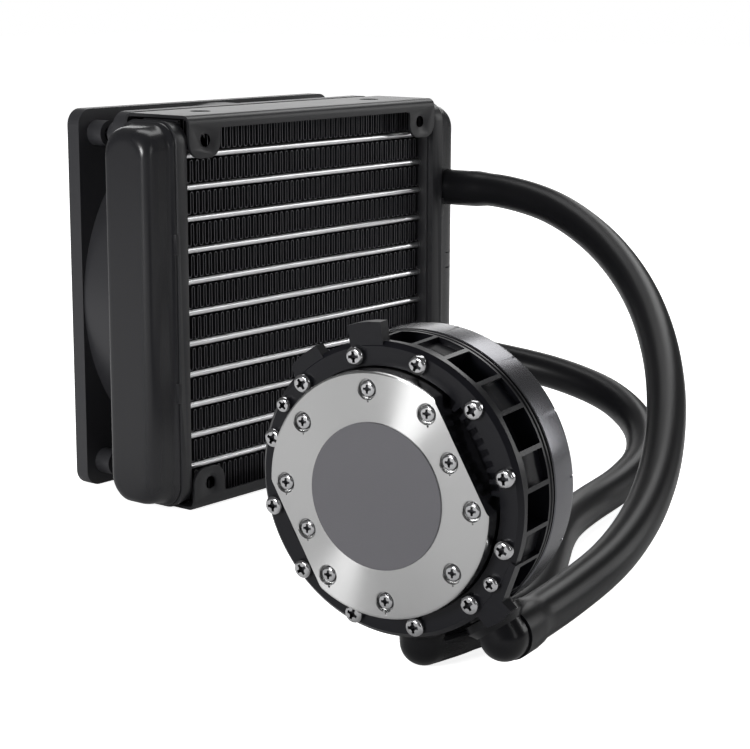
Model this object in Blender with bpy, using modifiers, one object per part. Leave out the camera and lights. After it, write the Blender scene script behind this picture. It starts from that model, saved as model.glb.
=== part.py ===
"""All-in-one CPU liquid cooler, built as separate solids.

A 120 mm radiator stands on its lower side plate, with its fan behind it. Two rubber hoses
run from the right tank to the pump head, which turns its cold plate to the left.
Lengths are metres. X runs along the radiator, Y back through the core and the fan, Z up.
The origin is the middle of the lower side plate's outer face.
"""

import math

import bmesh
import bpy
import numpy as np
from mathutils import Matrix, Vector

MM = 0.001

# Fits
SEAT_GAP = 0.3 * MM
FILM_GAP = 0.1 * MM
WELD = 0.001 * MM
OVERSIZE = 2 * MM

# Radiator core
RADIATOR_WIDTH = 120 * MM
RADIATOR_HEIGHT = 120 * MM
RADIATOR_DEPTH = 27 * MM
CORE_SETBACK = 5.5 * MM
CORE_DEPTH = 15.5 * MM
TUBE_COUNT = 11
TUBE_PITCH = 9.55 * MM
TUBE_THICKNESS = 2 * MM
FIN_PERIODS = 16
FIN_SETBACK = 0.6 * MM
FIN_WEB = 1.6 * MM

# Header pans
PAN_BASE = 1.2 * MM
PAN_LENGTH = 4.7 * MM
PAN_WALL = 1.0 * MM
PAN_STEP = 1.0 * MM
PAN_STEP_INSET = 1.8 * MM
PAN_DEPTH = 22.4 * MM
PAN_HEIGHT = 116 * MM
PAN_SETBACK = 0.8 * MM
PAN_CORNER = 6 * MM
CRIMP_RISE = 22.5 * MM
CRIMP_SIZE = 6 * MM

# Tanks
TANK_START = 67 * MM
TANK_END = 75.5 * MM
TANK_INSET = 2.0 * MM
TANK_TOP_INSET = 3.0 * MM
TANK_CORNER = 6.5 * MM
TANK_EDGE = 1.5 * MM
TANK_NECK_INSET = 0.8 * MM
TANK_WALL = 1.6 * MM
PORT_PLACE = 71.2 * MM
PORT_RISE = 28.9 * MM
PORT_PAD_RADIUS = 5.9 * MM
PORT_PAD_HEIGHT = 0.6 * MM
PORT_PAD_ROOT = 3 * MM
PORT_BORE_RADIUS = 2.8 * MM
MARK_RISES = (0.4 * MM, 5.7 * MM)
MARK_SIZE = Vector((7.0, 0.8, 0.9)) * MM

# Side plates
PLATE_THICKNESS = 1.0 * MM
PLATE_BEND = 1.6 * MM
LIP_HEIGHT = 4 * MM
EAR_WIDTH = 13.5 * MM
EAR_HEIGHT = 12.8 * MM
EAR_CORNER = 4.8 * MM
SCREW_SPACING = 105 * MM
EAR_HOLE_RADIUS = 1.9 * MM
DIMPLE_RADIUS = 3.3 * MM
DIMPLE_DEPTH = 0.6 * MM
WEB_HOLE_RADIUS = 3.25 * MM
WEB_HOLE_PLACE = 41 * MM

# Fan
FAN_SIZE = 120 * MM
FAN_DEPTH = 25 * MM
FAN_CORNER = 5 * MM
FLANGE_THICKNESS = 5 * MM
DUCT_RADIUS = 57.5 * MM
DUCT_STEPS = 36
DUCT_STEP = 0.4 * MM
DUCT_WALL = 1.6 * MM
FAN_HOLE_RADIUS = 2.2 * MM
BOSS_RADIUS = 4 * MM
BOSS_HEIGHT = 6 * MM
BASE_RADIUS = 21 * MM
BASE_THICKNESS = 2.5 * MM
STRUT_COUNT = 4
STRUT_WIDTH = 5 * MM
STRUT_THICKNESS = 3.0 * MM
BEARING_BORE = 1.8 * MM
BEARING_RADIUS = 3.6 * MM
BEARING_TUBE_WALL = 1.1 * MM
BEARING_TUBE_TOP = 16 * MM
HUB_RADIUS = 20 * MM
HUB_START = 3.5 * MM
HUB_END = 23.2 * MM
HUB_WALL = 1.6 * MM
HUB_EDGE = 2.0 * MM
BLADE_COUNT = 9
BLADE_TIP_GAP = 1.5 * MM
BLADE_THICKNESS = 1.4 * MM
BLADE_START = 5.2 * MM
BLADE_ROOT_END = 21 * MM
BLADE_TIP_END = 19 * MM
BLADE_CHORD = math.radians(33)
BLADE_SWEEP = math.radians(26)
SHAFT_RADIUS = 1.5 * MM
MAGNET_WALL = 2.2 * MM
STATOR_RADIUS = 15 * MM
STATOR_HEIGHT = 10 * MM
BOARD_THICKNESS = 1.0 * MM
FAN_SCREW_RADIUS = 1.6 * MM
FAN_SCREW_LENGTH = 30 * MM
FAN_SCREW_HEAD_RADIUS = 3.4 * MM
FAN_SCREW_HEAD = 2.2 * MM

# Pump head: its place is the middle of the ring's front face
HEAD_PLACE = Vector((-139.4, -150.65, 45.06)) * MM
HEAD_YAW = math.radians(6.49)
HEAD_TILT = math.radians(1.7)

# Pump ring, which is the bayonet housing
RING_STEPS = 40
RING_RADIUS = 34.8 * MM
RING_BEVEL = 0.8 * MM
RING_LENGTH = 15.0 * MM
NECK_RADIUS = 33.6 * MM
NECK_LENGTH = 0.7 * MM
RECESS_DEPTH = 3 * MM
PLATE_CLEARANCE = 0.4 * MM
CHAMBER_RADIUS = 16.2 * MM
CHAMBER_FLOOR = 13.5 * MM
WELL_RADIUS = 7.2 * MM
WELL_FLOOR = 21 * MM
WELL_WALL = 1.2 * MM
GROOVE_RADIUS = 18.6 * MM
GROOVE_WIDTH = 2.0 * MM
GROOVE_DEPTH = 1.2 * MM
WINDOW_COUNT = 12
WINDOW_PHASE = -31.3
WINDOW_HALF_WIDTH = 4.35 * MM
WINDOW_FRONT = 4.6 * MM
WINDOW_REAR = 12.9 * MM
WINDOW_FLOOR = 29.4 * MM
RAMP_FRONT = 2.5 * MM
RAMP_FLOOR = 33.1 * MM
SCOOP_HALF_WIDTH = 3.6 * MM
SCOOP_FRONT = 3.4 * MM
SCOOP_FLOOR = 33.4 * MM
RACK_COUNT = 9
RACK_PITCH = 5.6
RACK_HALF_WIDTH = 0.75 * MM
RACK_DEPTH = 0.8 * MM
TAB_THICKNESS = 3.2 * MM
TAB_ROOT = 33.0 * MM

# Ring screws
RING_SCREW_COUNT = 12
RING_SCREW_CIRCLE = 31.8 * MM
RING_SCREW_PHASE = 13.7
RING_SCREW_RADIUS = 1.1 * MM
RING_SCREW_HOLE = 1.4 * MM
RING_SCREW_HEAD_RADIUS = 2.3 * MM
RING_SCREW_HEAD = 1.6 * MM
RING_SCREW_REACH = 4 * MM
SMALL_SCREW_CIRCLE = 32.4 * MM
SMALL_SCREW_ANGLES = (57.7, -122.2)
SMALL_SCREW_HEAD_RADIUS = 1.9 * MM
SMALL_SCREW_LENGTH = 3.4 * MM

# Cold plate
COLD_PLATE_RADIUS = 28.9 * MM
COLD_PLATE_FRONT = 4.85 * MM
COLD_PLATE_BEVEL = 0.5 * MM
FLAT_DISTANCE = 25.15 * MM
FLAT_ANGLE = -61.3
COLD_BLOCK_RADIUS = 15.3 * MM
COLD_BLOCK_DEPTH = 2 * MM
PLATE_SCREW_CIRCLE = 24.75 * MM
PLATE_SCREW_OFFSETS = (28.4, 66, 114, 151.6, 208.4, 246, 294, 331.6)
FLAT_SCREW_CIRCLE = 21.7 * MM
FLAT_SCREW_OFFSETS = (0, 180)
COUNTERBORE_RADIUS = 2.3 * MM
COUNTERBORE_DEPTH = 1.3 * MM
PLATE_SCREW_RADIUS = 1.85 * MM
PLATE_SCREW_DROP = 0.35 * MM
PASTE_RADIUS = 17.2 * MM
PASTE_THICKNESS = 0.25 * MM

# Pump cap
CAP_RADIUS = 34.9 * MM
CAP_END = 26.1 * MM
CAP_WALL = 5.7 * MM
CAP_BACK = 1.8 * MM
CAP_EDGE = 2 * MM
CAP_HOLE_DEPTH = 5 * MM
CAP_NOTCH_COUNT = 14
CAP_NOTCH_PHASE = -34.3
CAP_NOTCH_SIZE = Vector((0.8, 0.3, 2.8)) * MM
RELIEF_DISTANCE = 33.1 * MM

# Pump insides
FLOW_PLATE_THICKNESS = 1.4 * MM
FLOW_HOLE_CIRCLE = 9 * MM
FLOW_HOLE_RADIUS = 2 * MM
IMPELLER_RADIUS = 14 * MM
IMPELLER_DISC = 1.6 * MM
IMPELLER_VANES = 6
VANE_HEIGHT = 2.6 * MM
PUMP_MAGNET_RADIUS = 6.3 * MM
PUMP_SHAFT_RADIUS = 1.0 * MM
PUMP_SHAFT_CLEARANCE = 0.3 * MM
PUMP_STATOR_RADIUS = 20 * MM
PUMP_STATOR_HEIGHT = 6.5 * MM
PUMP_BOARD_RADIUS = 27 * MM
SLOT_COUNT = 6

# Elbows: angle round the head, seat distance from its axis, turn of the outlet
ELBOWS = {"left": (-177.1, 33.3 * MM, 20.0), "right": (-145.6, 35.5 * MM, 0.0)}
ELBOW_DEPTH = 12.5 * MM
ELBOW_RADIUS = 5.8 * MM
ELBOW_COLLAR_RADIUS = 7.2 * MM
ELBOW_COLLAR = 1.8 * MM
ELBOW_KNUCKLE = 6.05 * MM
ELBOW_OUTLET = 8.2 * MM
ELBOW_BORE_RADIUS = 2.2 * MM
STEM_RADIUS = 3.9 * MM
STEM_LENGTH = 4.2 * MM
STEM_GROOVE_RADIUS = 3.1 * MM
SEAL_HEIGHT = 0.9 * MM
SEAL_DROP = 1.5 * MM
PORT_BOSS_RADIUS = 5.8 * MM
PORT_BOSS_ROOT = 22 * MM
PORT_FLAT_FRONT = 5.0 * MM

# Hoses
HOSE_RADIUS = 5.6 * MM
HOSE_POINT_SPACING = 22.4 * MM
HOSE_ROUTES = {
    "upper": (
        (71.2, -11.6, 88.9),
        (71.2, -19.6, 88.9),
        (70.9, -34.0, 89.0),
        (69.1, -55.5, 85.5),
        (63.4, -75.9, 78.3),
        (53.1, -94.2, 70.1),
        (39.8, -110.3, 61.8),
        (24.6, -124.5, 53.2),
        (8.2, -136.9, 44.3),
        (-9.5, -147.5, 35.3),
        (-28.5, -156.3, 27.1),
        (-48.9, -163.1, 20.5),
        (-70.3, -167.5, 15.6),
        (-92.4, -169.5, 12.5),
        (-106.91, -170.75, 11.4),
        (-114.85, -171.65, 11.17),
    ),
    "lower": (
        (71.2, -11.6, 31.1),
        (71.2, -19.6, 31.1),
        (74.0, -34.0, 29.7),
        (77.9, -54.3, 26.8),
        (76.6, -75.7, 22.2),
        (66.2, -94.0, 16.2),
        (48.6, -105.8, 10.8),
        (27.5, -110.9, 7.3),
        (5.7, -113.8, 5.9),
        (-15.6, -119.5, 6.0),
        (-35.6, -128.6, 6.9),
        (-55.0, -139.2, 7.2),
        (-73.5, -148.5, 7.0),
        (-91.5, -155.1, 6.8),
        (-100.5, -155.9, 6.7),
        (-109.57, -154.95, 6.59),
        (-117.34, -153.08, 6.23),
    ),
}

FRONT_VIEW = Matrix.Rotation(math.pi / 2, 4, "X")
SIDE_VIEW = Matrix(((0, 0, 1, 0), (1, 0, 0, 0), (0, 1, 0, 0), (0, 0, 0, 1)))
MIDDLE_HEIGHT = RADIATOR_HEIGHT / 2
FRONT_FACE = -RADIATOR_DEPTH / 2
CORE_FRONT = FRONT_FACE + CORE_SETBACK
PAN_START = RADIATOR_WIDTH / 2 + SEAT_GAP
TANK_MIDDLE = FRONT_FACE + PAN_SETBACK + PAN_DEPTH / 2
FAN_FRONT = RADIATOR_DEPTH / 2 + SEAT_GAP
CAP_START = RING_LENGTH + NECK_LENGTH + SEAT_GAP


def clear_scene():
    """Removes every object, so that the script can run in any file."""
    for obj in list(bpy.data.objects):
        bpy.data.objects.remove(obj, do_unlink=True)


def new_collection(name):
    collection = bpy.data.collections.new(name)
    bpy.context.scene.collection.children.link(collection)
    return collection


def new_material(name, colour, roughness, metallic=0.0):
    material = bpy.data.materials.new(name)
    material.use_nodes = True
    shader = material.node_tree.nodes["Principled BSDF"]
    shader.inputs["Base Color"].default_value = (*colour, 1.0)
    shader.inputs["Roughness"].default_value = roughness
    shader.inputs["Metallic"].default_value = metallic
    return material


clear_scene()
PARTS = new_collection("liquid_cooler")
CUTTERS = new_collection("cutters")
CUTTERS.hide_render = True

BLACK_PAINT = new_material("black_paint", (0.022, 0.022, 0.025), 0.42)
TUBE_METAL = new_material("tube_metal", (0.60, 0.60, 0.61), 0.35, 0.9)
FIN_BLACK = new_material("fin_black", (0.020, 0.020, 0.022), 0.5, 0.4)
TANK_BLACK = new_material("tank_black", (0.024, 0.024, 0.027), 0.38)
FAN_PLASTIC = new_material("fan_plastic", (0.028, 0.028, 0.031), 0.45)
RING_PLASTIC = new_material("ring_plastic", (0.022, 0.022, 0.025), 0.42)
TURNED_METAL = new_material("turned_metal", (0.78, 0.77, 0.75), 0.24, 1.0)
PASTE_GREY = new_material("paste_grey", (0.145, 0.142, 0.150), 0.75)
GUNMETAL = new_material("gunmetal", (0.085, 0.085, 0.092), 0.32, 0.7)
CHROME = new_material("chrome", (0.80, 0.80, 0.81), 0.15, 1.0)
DARK_STEEL = new_material("dark_steel", (0.055, 0.055, 0.06), 0.35, 0.9)
HOSE_RUBBER = new_material("hose_rubber", (0.020, 0.020, 0.022), 0.48)
SEAL_RUBBER = new_material("seal_rubber", (0.015, 0.015, 0.015), 0.7)
STEEL = new_material("steel", (0.55, 0.55, 0.56), 0.3, 1.0)
BRONZE = new_material("bronze", (0.50, 0.33, 0.16), 0.4, 1.0)
COPPER = new_material("copper", (0.72, 0.36, 0.20), 0.35, 1.0)
MAGNET_GREY = new_material("magnet_grey", (0.06, 0.06, 0.065), 0.6, 0.3)
BOARD_GREEN = new_material("board_green", (0.02, 0.10, 0.05), 0.5)
WHITE_PLASTIC = new_material("white_plastic", (0.55, 0.55, 0.53), 0.5)


def add_object(name, mesh, collection, material=None, parent=None, placed=None):
    """Links a mesh as an object. placed is its matrix under the parent."""
    obj = bpy.data.objects.new(name, mesh)
    collection.objects.link(obj)
    obj.parent = parent
    if placed is not None:
        obj.matrix_local = placed
    if material is not None:
        mesh.materials.append(material)
    if collection is CUTTERS:
        obj.hide_render = True
        obj.display_type = "WIRE"
    return obj


def add_empty(name, placed):
    empty = bpy.data.objects.new(name, None)
    PARTS.objects.link(empty)
    empty.matrix_world = placed
    bpy.context.view_layer.update()
    return empty


def shift(x=0.0, y=0.0, z=0.0):
    return Matrix.Translation((x, y, z))


def polar(radius, degrees):
    angle = math.radians(degrees)
    return radius * math.cos(angle), radius * math.sin(angle)


def arc(centre, radius, start, end, steps):
    """Points on an arc, both ends included, angles in degrees."""
    angles = np.linspace(start, end, steps + 1)
    return [(centre[0] + polar(radius, a)[0], centre[1] + polar(radius, a)[1]) for a in angles]


def circle(radius, steps, centre=(0.0, 0.0)):
    return arc(centre, radius, 0, 360, steps)[:-1]


def rounded_rectangle(width, height, radius, steps):
    x, y = width / 2 - radius, height / 2 - radius
    corners = ((x, y, 0), (-x, y, 90), (-x, -y, 180), (x, -y, 270))
    return [p for cx, cy, a in corners for p in arc((cx, cy), radius, a, a + 90, steps)]


def outline_mesh(name, loops, thickness):
    """A flat outline with any holes as a solid from local z 0 to its thickness."""
    curve = bpy.data.curves.new(name, "CURVE")
    curve.dimensions = "2D"
    curve.fill_mode = "BOTH"
    curve.extrude = thickness / 2
    for loop in loops:
        spline = curve.splines.new("POLY")
        spline.points.add(len(loop) - 1)
        for point, (x, y) in zip(spline.points, loop):
            point.co = (x, y, 0, 1)
        spline.use_cyclic_u = True
    return mesh_of_curve(curve, shift(z=thickness / 2))


def mesh_of_curve(curve, placed):
    """The mesh of a curve, with its caps welded to its sides."""
    helper = bpy.data.objects.new(curve.name, curve)
    CUTTERS.objects.link(helper)
    helper.matrix_world = placed
    bpy.context.view_layer.update()
    graph = bpy.context.evaluated_depsgraph_get()
    mesh = bpy.data.meshes.new_from_object(helper.evaluated_get(graph))
    mesh.transform(helper.matrix_world)
    bpy.data.objects.remove(helper, do_unlink=True)
    shape = bmesh.new()
    shape.from_mesh(mesh)
    bmesh.ops.remove_doubles(shape, verts=shape.verts, dist=WELD)
    bmesh.ops.recalc_face_normals(shape, faces=shape.faces)
    shape.to_mesh(mesh)
    shape.free()
    return mesh


def finished_mesh(name, shape):
    mesh = bpy.data.meshes.new(name)
    shape.to_mesh(mesh)
    shape.free()
    return mesh


def add_box(shape, low, high):
    low, high = Vector(low), Vector(high)
    size = Matrix.Diagonal((*(high - low), 1))
    bmesh.ops.create_cube(shape, size=1, matrix=Matrix.Translation((low + high) / 2) @ size)


def add_rod(shape, start, end, radius, sides, end_radius=None):
    start, end = Vector(start), Vector(end)
    turn = (end - start).to_track_quat("Z", "Y").to_matrix().to_4x4()
    bmesh.ops.create_cone(
        shape,
        cap_ends=True,
        segments=sides,
        radius1=radius,
        radius2=radius if end_radius is None else end_radius,
        depth=(end - start).length,
        matrix=Matrix.Translation((start + end) / 2) @ turn,
    )


def round_axis(mesh, degrees):
    """One mesh with a copy of this one at each angle round Z."""
    shape = bmesh.new()
    for angle in degrees:
        copy = mesh.copy()
        copy.transform(Matrix.Rotation(math.radians(angle), 4, "Z"))
        shape.from_mesh(copy)
        bpy.data.meshes.remove(copy)
    return finished_mesh(mesh.name, shape)


def radial_block(name, outline, half_width):
    """An outline in radius and height, as a block across the X axis."""
    mesh = outline_mesh(name, [outline], 2 * half_width)
    mesh.transform(shift(y=half_width) @ FRONT_VIEW)
    return mesh


def add_turned(name, profile, steps, collection, material=None, parent=None, placed=None, closed=False):
    """A shape turned round local Z from (radius, z) points that run down its outer side."""
    mesh = bpy.data.meshes.new(name)
    points = [(radius, 0, z) for radius, z in profile]
    edges = [(i, i + 1) for i in range(len(points) - 1)]
    if closed:
        edges.append((len(points) - 1, 0))
    mesh.from_pydata(points, edges, [])
    obj = add_object(name, mesh, collection, material, parent, placed)
    screw = obj.modifiers.new("turn", "SCREW")
    screw.steps = steps
    screw.render_steps = steps
    screw.use_merge_vertices = True
    screw.merge_threshold = WELD
    return obj


def combine(target, other, operation):
    modifier = target.modifiers.new(other.name, "BOOLEAN")
    modifier.operation = operation
    modifier.solver = "EXACT"
    modifier.object = other


def cut(target, *others):
    for other in others:
        combine(target, other, "DIFFERENCE")


def join(target, *others):
    for other in others:
        combine(target, other, "UNION")


def add_cutter(name, shape, parent=None, placed=None):
    return add_object(name, finished_mesh(name, shape), CUTTERS, None, parent, placed)


# Radiator


def tube_heights():
    first = MIDDLE_HEIGHT - TUBE_PITCH * (TUBE_COUNT - 1) / 2
    return [first + TUBE_PITCH * i for i in range(TUBE_COUNT)]


def flat_tube_outline(height):
    """A tube's section in Y and Z, with round edges."""
    radius = TUBE_THICKNESS / 2
    front = (CORE_FRONT + radius, height)
    rear = (CORE_FRONT + CORE_DEPTH - radius, height)
    return arc(front, radius, 90, 270, 3) + arc(rear, radius, -90, 90, 3)


def pan_outline(inset=0.0):
    return rounded_rectangle(
        PAN_DEPTH - 2 * inset, PAN_HEIGHT - 2 * inset, PAN_CORNER - inset, 3
    )


def pan_frame(turned_round):
    """The frame of one end: local X and Y are Y and Z of the radiator, local Z points out."""
    centre = shift(y=TANK_MIDDLE, z=MIDDLE_HEIGHT)
    turn = Matrix.Rotation(math.pi if turned_round else 0, 4, "Z")
    return centre @ turn @ SIDE_VIEW


def crimp_boxes(shape):
    """Tabs bent over the tank's foot, on both long walls of the pan."""
    for across in (-1, 1):
        for rise in (-CRIMP_RISE, CRIMP_RISE):
            outer = across * PAN_DEPTH / 2
            inner = across * (PAN_DEPTH / 2 - TANK_INSET)
            top = PAN_START + PAN_LENGTH
            low = (min(outer, inner), rise - CRIMP_SIZE / 2, top - PAN_WALL / 2)
            high = (max(outer, inner), rise + CRIMP_SIZE / 2, top + PAN_WALL)
            add_box(shape, low, high)


def build_tube_core():
    """Flat tubes brazed into the two header pans: one piece."""
    length = 2 * (PAN_START + PAN_BASE / 2)
    mesh = outline_mesh("tube_core", [flat_tube_outline(z) for z in tube_heights()], length)
    core = add_object("tube_core", mesh, PARTS, TUBE_METAL, None, shift(x=-length / 2) @ SIDE_VIEW)
    step_wall = PAN_BASE / 2
    for side, turned_round in (("left", True), ("right", False)):
        frame = pan_frame(turned_round)
        step = outline_mesh("pan_step", [pan_outline(PAN_STEP_INSET)], PAN_STEP + step_wall)
        pan = outline_mesh("pan", [pan_outline()], PAN_LENGTH)
        hollow = outline_mesh("pan_hollow", [pan_outline(PAN_WALL)], PAN_LENGTH)
        tabs = bmesh.new()
        crimp_boxes(tabs)
        step_place = frame @ shift(z=PAN_START - PAN_STEP)
        join(
            core,
            add_object("pan_step_" + side, step, CUTTERS, None, None, step_place),
            add_object("pan_" + side, pan, CUTTERS, None, None, frame @ shift(z=PAN_START)),
        )
        hollow_place = frame @ shift(z=PAN_START + PAN_BASE)
        cut(core, add_object("pan_hollow_" + side, hollow, CUTTERS, None, None, hollow_place))
        join(core, add_cutter("crimp_tabs_" + side, tabs, None, frame))
    return core


def fin_outline(low, high):
    """A folded strip's edge in X and Z: one zigzag above the other."""
    half = RADIATOR_WIDTH / 2 - PAN_STEP - SEAT_GAP
    xs = np.linspace(-half, half, 2 * FIN_PERIODS + 1)
    upper = [(x, high if i % 2 else low + FIN_WEB) for i, x in enumerate(xs)]
    lower = [(x, high - FIN_WEB if i % 2 else low) for i, x in enumerate(xs)]
    return upper + lower[::-1]


def build_fin_rows():
    edges = [PLATE_THICKNESS]
    for height in tube_heights():
        edges += [height - TUBE_THICKNESS / 2, height + TUBE_THICKNESS / 2]
    edges.append(RADIATOR_HEIGHT - PLATE_THICKNESS)
    depth = CORE_DEPTH - 2 * FIN_SETBACK
    place = shift(y=CORE_FRONT + FIN_SETBACK + depth) @ FRONT_VIEW
    for row in range(TUBE_COUNT + 1):
        low, high = edges[2 * row] + SEAT_GAP, edges[2 * row + 1] - SEAT_GAP
        name = f"fin_row_{row + 1:02d}"
        mesh = outline_mesh(name, [fin_outline(low, high)], depth)
        add_object(name, mesh, PARTS, FIN_BLACK, None, place)


def channel_outline():
    """The folded plate's section in Y and Z, open downwards, its web's outer face at z 0."""
    half, drop = RADIATOR_DEPTH / 2, EAR_HEIGHT + OVERSIZE
    outer, inner = PLATE_BEND, PLATE_BEND - PLATE_THICKNESS
    right_bend = (half - outer, -outer)
    left_bend = (-half + outer, -outer)
    points = [(half, -drop)]
    points += arc(right_bend, outer, 0, 90, 3)
    points += arc(left_bend, outer, 90, 180, 3)
    points += [(-half, -drop), (-half + PLATE_THICKNESS, -drop)]
    points += arc(left_bend, inner, 180, 90, 2)
    points += arc(right_bend, inner, 90, 0, 2)
    points.append((half - PLATE_THICKNESS, -drop))
    return points


def plate_front_outline():
    """The plate seen from the front: a lip with an ear at each end."""
    half, ear, radius = RADIATOR_WIDTH / 2, RADIATOR_WIDTH / 2 - EAR_WIDTH, EAR_CORNER
    low = -EAR_HEIGHT
    points = [(half, OVERSIZE)]
    points += arc((half - radius, low + radius), radius, 0, -90, 3)
    points += arc((ear + radius, low + radius), radius, -90, -180, 3)
    points += [(ear, -LIP_HEIGHT), (-ear, -LIP_HEIGHT)]
    points += arc((-ear - radius, low + radius), radius, 0, -90, 3)
    points += arc((-half + radius, low + radius), radius, -90, -180, 3)
    points.append((-half, OVERSIZE))
    return points


def build_side_plate(name, height, upside_down):
    """A folded channel with screw ears, its web's outer face at this height."""
    frame = shift(z=height) @ Matrix.Rotation(math.pi if upside_down else 0, 4, "Y")
    length = RADIATOR_WIDTH + 2 * OVERSIZE
    mesh = outline_mesh(name, [channel_outline()], length)
    plate_place = frame @ shift(x=-length / 2) @ SIDE_VIEW
    plate = add_object(name, mesh, PARTS, BLACK_PAINT, None, plate_place)
    depth = RADIATOR_DEPTH + 2 * OVERSIZE
    trim = outline_mesh(name + "_trim", [plate_front_outline()], depth)
    trim_place = frame @ shift(y=depth / 2) @ FRONT_VIEW
    combine(plate, add_object(name + "_trim", trim, CUTTERS, None, None, trim_place), "INTERSECT")
    holes, dimples = bmesh.new(), bmesh.new()
    half = RADIATOR_DEPTH / 2
    drop = (SCREW_SPACING - RADIATOR_HEIGHT) / 2
    for across in (-SCREW_SPACING / 2, SCREW_SPACING / 2):
        add_rod(holes, (across, -depth / 2, drop), (across, depth / 2, drop), EAR_HOLE_RADIUS, 8)
        for facing in (-1, 1):
            outside = (across, facing * (half + DIMPLE_DEPTH), drop)
            inside = (across, facing * (half - DIMPLE_DEPTH), drop)
            rim = 2 * DIMPLE_RADIUS - EAR_HOLE_RADIUS
            add_rod(dimples, outside, inside, rim, 8, EAR_HOLE_RADIUS + FILM_GAP)
    for across in (-WEB_HOLE_PLACE, WEB_HOLE_PLACE):
        add_rod(holes, (across, 0, -OVERSIZE), (across, 0, OVERSIZE), WEB_HOLE_RADIUS, 12)
    cut(plate, add_cutter(name + "_dimples", dimples, None, frame))
    cut(plate, add_cutter(name + "_holes", holes, None, frame))


def tank_block(name, inset, top_inset, corner, low, high, edge):
    """A block with rounded long corners and a rounded outer rim, standing on local z."""
    width, height = PAN_DEPTH - 2 * inset, PAN_HEIGHT - 2 * top_inset
    mesh = outline_mesh(name, [rounded_rectangle(width, height, corner, 3)], high - low)
    mesh.transform(shift(z=low))
    if edge:
        shape = bmesh.new()
        shape.from_mesh(mesh)
        rim = [e for e in shape.edges if all(v.co.z > high - WELD for v in e.verts)]
        rim = [e for e in rim if len({f.normal.z > 0.5 for f in e.link_faces}) == 2]
        bmesh.ops.bevel(
            shape, geom=rim, offset=edge, segments=2, profile=0.5, affect="EDGES"
        )
        shape.to_mesh(mesh)
        shape.free()
    return mesh


def build_tank(name, turned_round):
    """A moulded end tank: dome, neck and foot, open towards the tubes."""
    frame = pan_frame(turned_round)
    body_args = (TANK_INSET, TANK_TOP_INSET, TANK_CORNER, TANK_START, TANK_END, TANK_EDGE)
    body = tank_block(name, *body_args)
    tank = add_object(name, body, PARTS, TANK_BLACK, None, frame)
    foot_inset = PAN_WALL + SEAT_GAP
    foot_low = PAN_START + PAN_BASE + SEAT_GAP
    foot_high = PAN_START + PAN_LENGTH - PAN_WALL / 2 - SEAT_GAP
    corner = PAN_CORNER - foot_inset
    foot = tank_block(name + "_foot", foot_inset, foot_inset, corner, foot_low, foot_high, 0)
    neck_inset = TANK_INSET + TANK_NECK_INSET
    neck_top = TANK_TOP_INSET + TANK_NECK_INSET
    corner = TANK_CORNER - TANK_NECK_INSET
    neck_low, neck_high = foot_high - PAN_WALL, TANK_START + TANK_EDGE
    neck = tank_block(name + "_neck", neck_inset, neck_top, corner, neck_low, neck_high, 0)
    join(
        tank,
        add_object(name + "_neck", neck, CUTTERS, None, None, frame),
        add_object(name + "_foot", foot, CUTTERS, None, None, frame),
    )
    hollow_inset = neck_inset + TANK_WALL
    hollow = tank_block(
        name + "_hollow",
        hollow_inset,
        neck_top + TANK_WALL,
        TANK_CORNER - TANK_WALL - TANK_NECK_INSET,
        foot_low - OVERSIZE,
        TANK_END - TANK_WALL,
        0,
    )
    return tank, add_object(name + "_hollow", hollow, CUTTERS, None, None, frame)


def build_tanks():
    tank, hollow = build_tank("tank_left", True)
    cut(tank, hollow)
    tank, hollow = build_tank("tank_right", False)
    face = TANK_MIDDLE - PAN_DEPTH / 2 + TANK_INSET
    pads, bores, marks = bmesh.new(), bmesh.new(), bmesh.new()
    for rise in (-PORT_RISE, PORT_RISE):
        height = MIDDLE_HEIGHT + rise
        front = (PORT_PLACE, face - PORT_PAD_HEIGHT, height)
        inside = (PORT_PLACE, face + PORT_PAD_ROOT, height)
        add_rod(pads, inside, front, PORT_PAD_RADIUS, 20)
        before = (PORT_PLACE, face - OVERSIZE, height)
        beyond = (PORT_PLACE, face + 3 * TANK_WALL, height)
        add_rod(bores, before, beyond, PORT_BORE_RADIUS, 12)
    for rise in MARK_RISES:
        low = Vector((TANK_END - MARK_SIZE.x + TANK_EDGE, face - TANK_EDGE, MIDDLE_HEIGHT + rise))
        add_box(marks, low, low + MARK_SIZE + Vector((0, TANK_EDGE, 0)))
    join(tank, add_cutter("port_pads", pads))
    cut(tank, hollow, add_cutter("port_bores", bores), add_cutter("tank_marks", marks))


# Fan


def fan_frame_at():
    """Local Z runs from the radiator to the rear, from the frame's front plane."""
    return shift(y=FAN_FRONT, z=MIDDLE_HEIGHT) @ Matrix.Rotation(-math.pi / 2, 4, "X")


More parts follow.
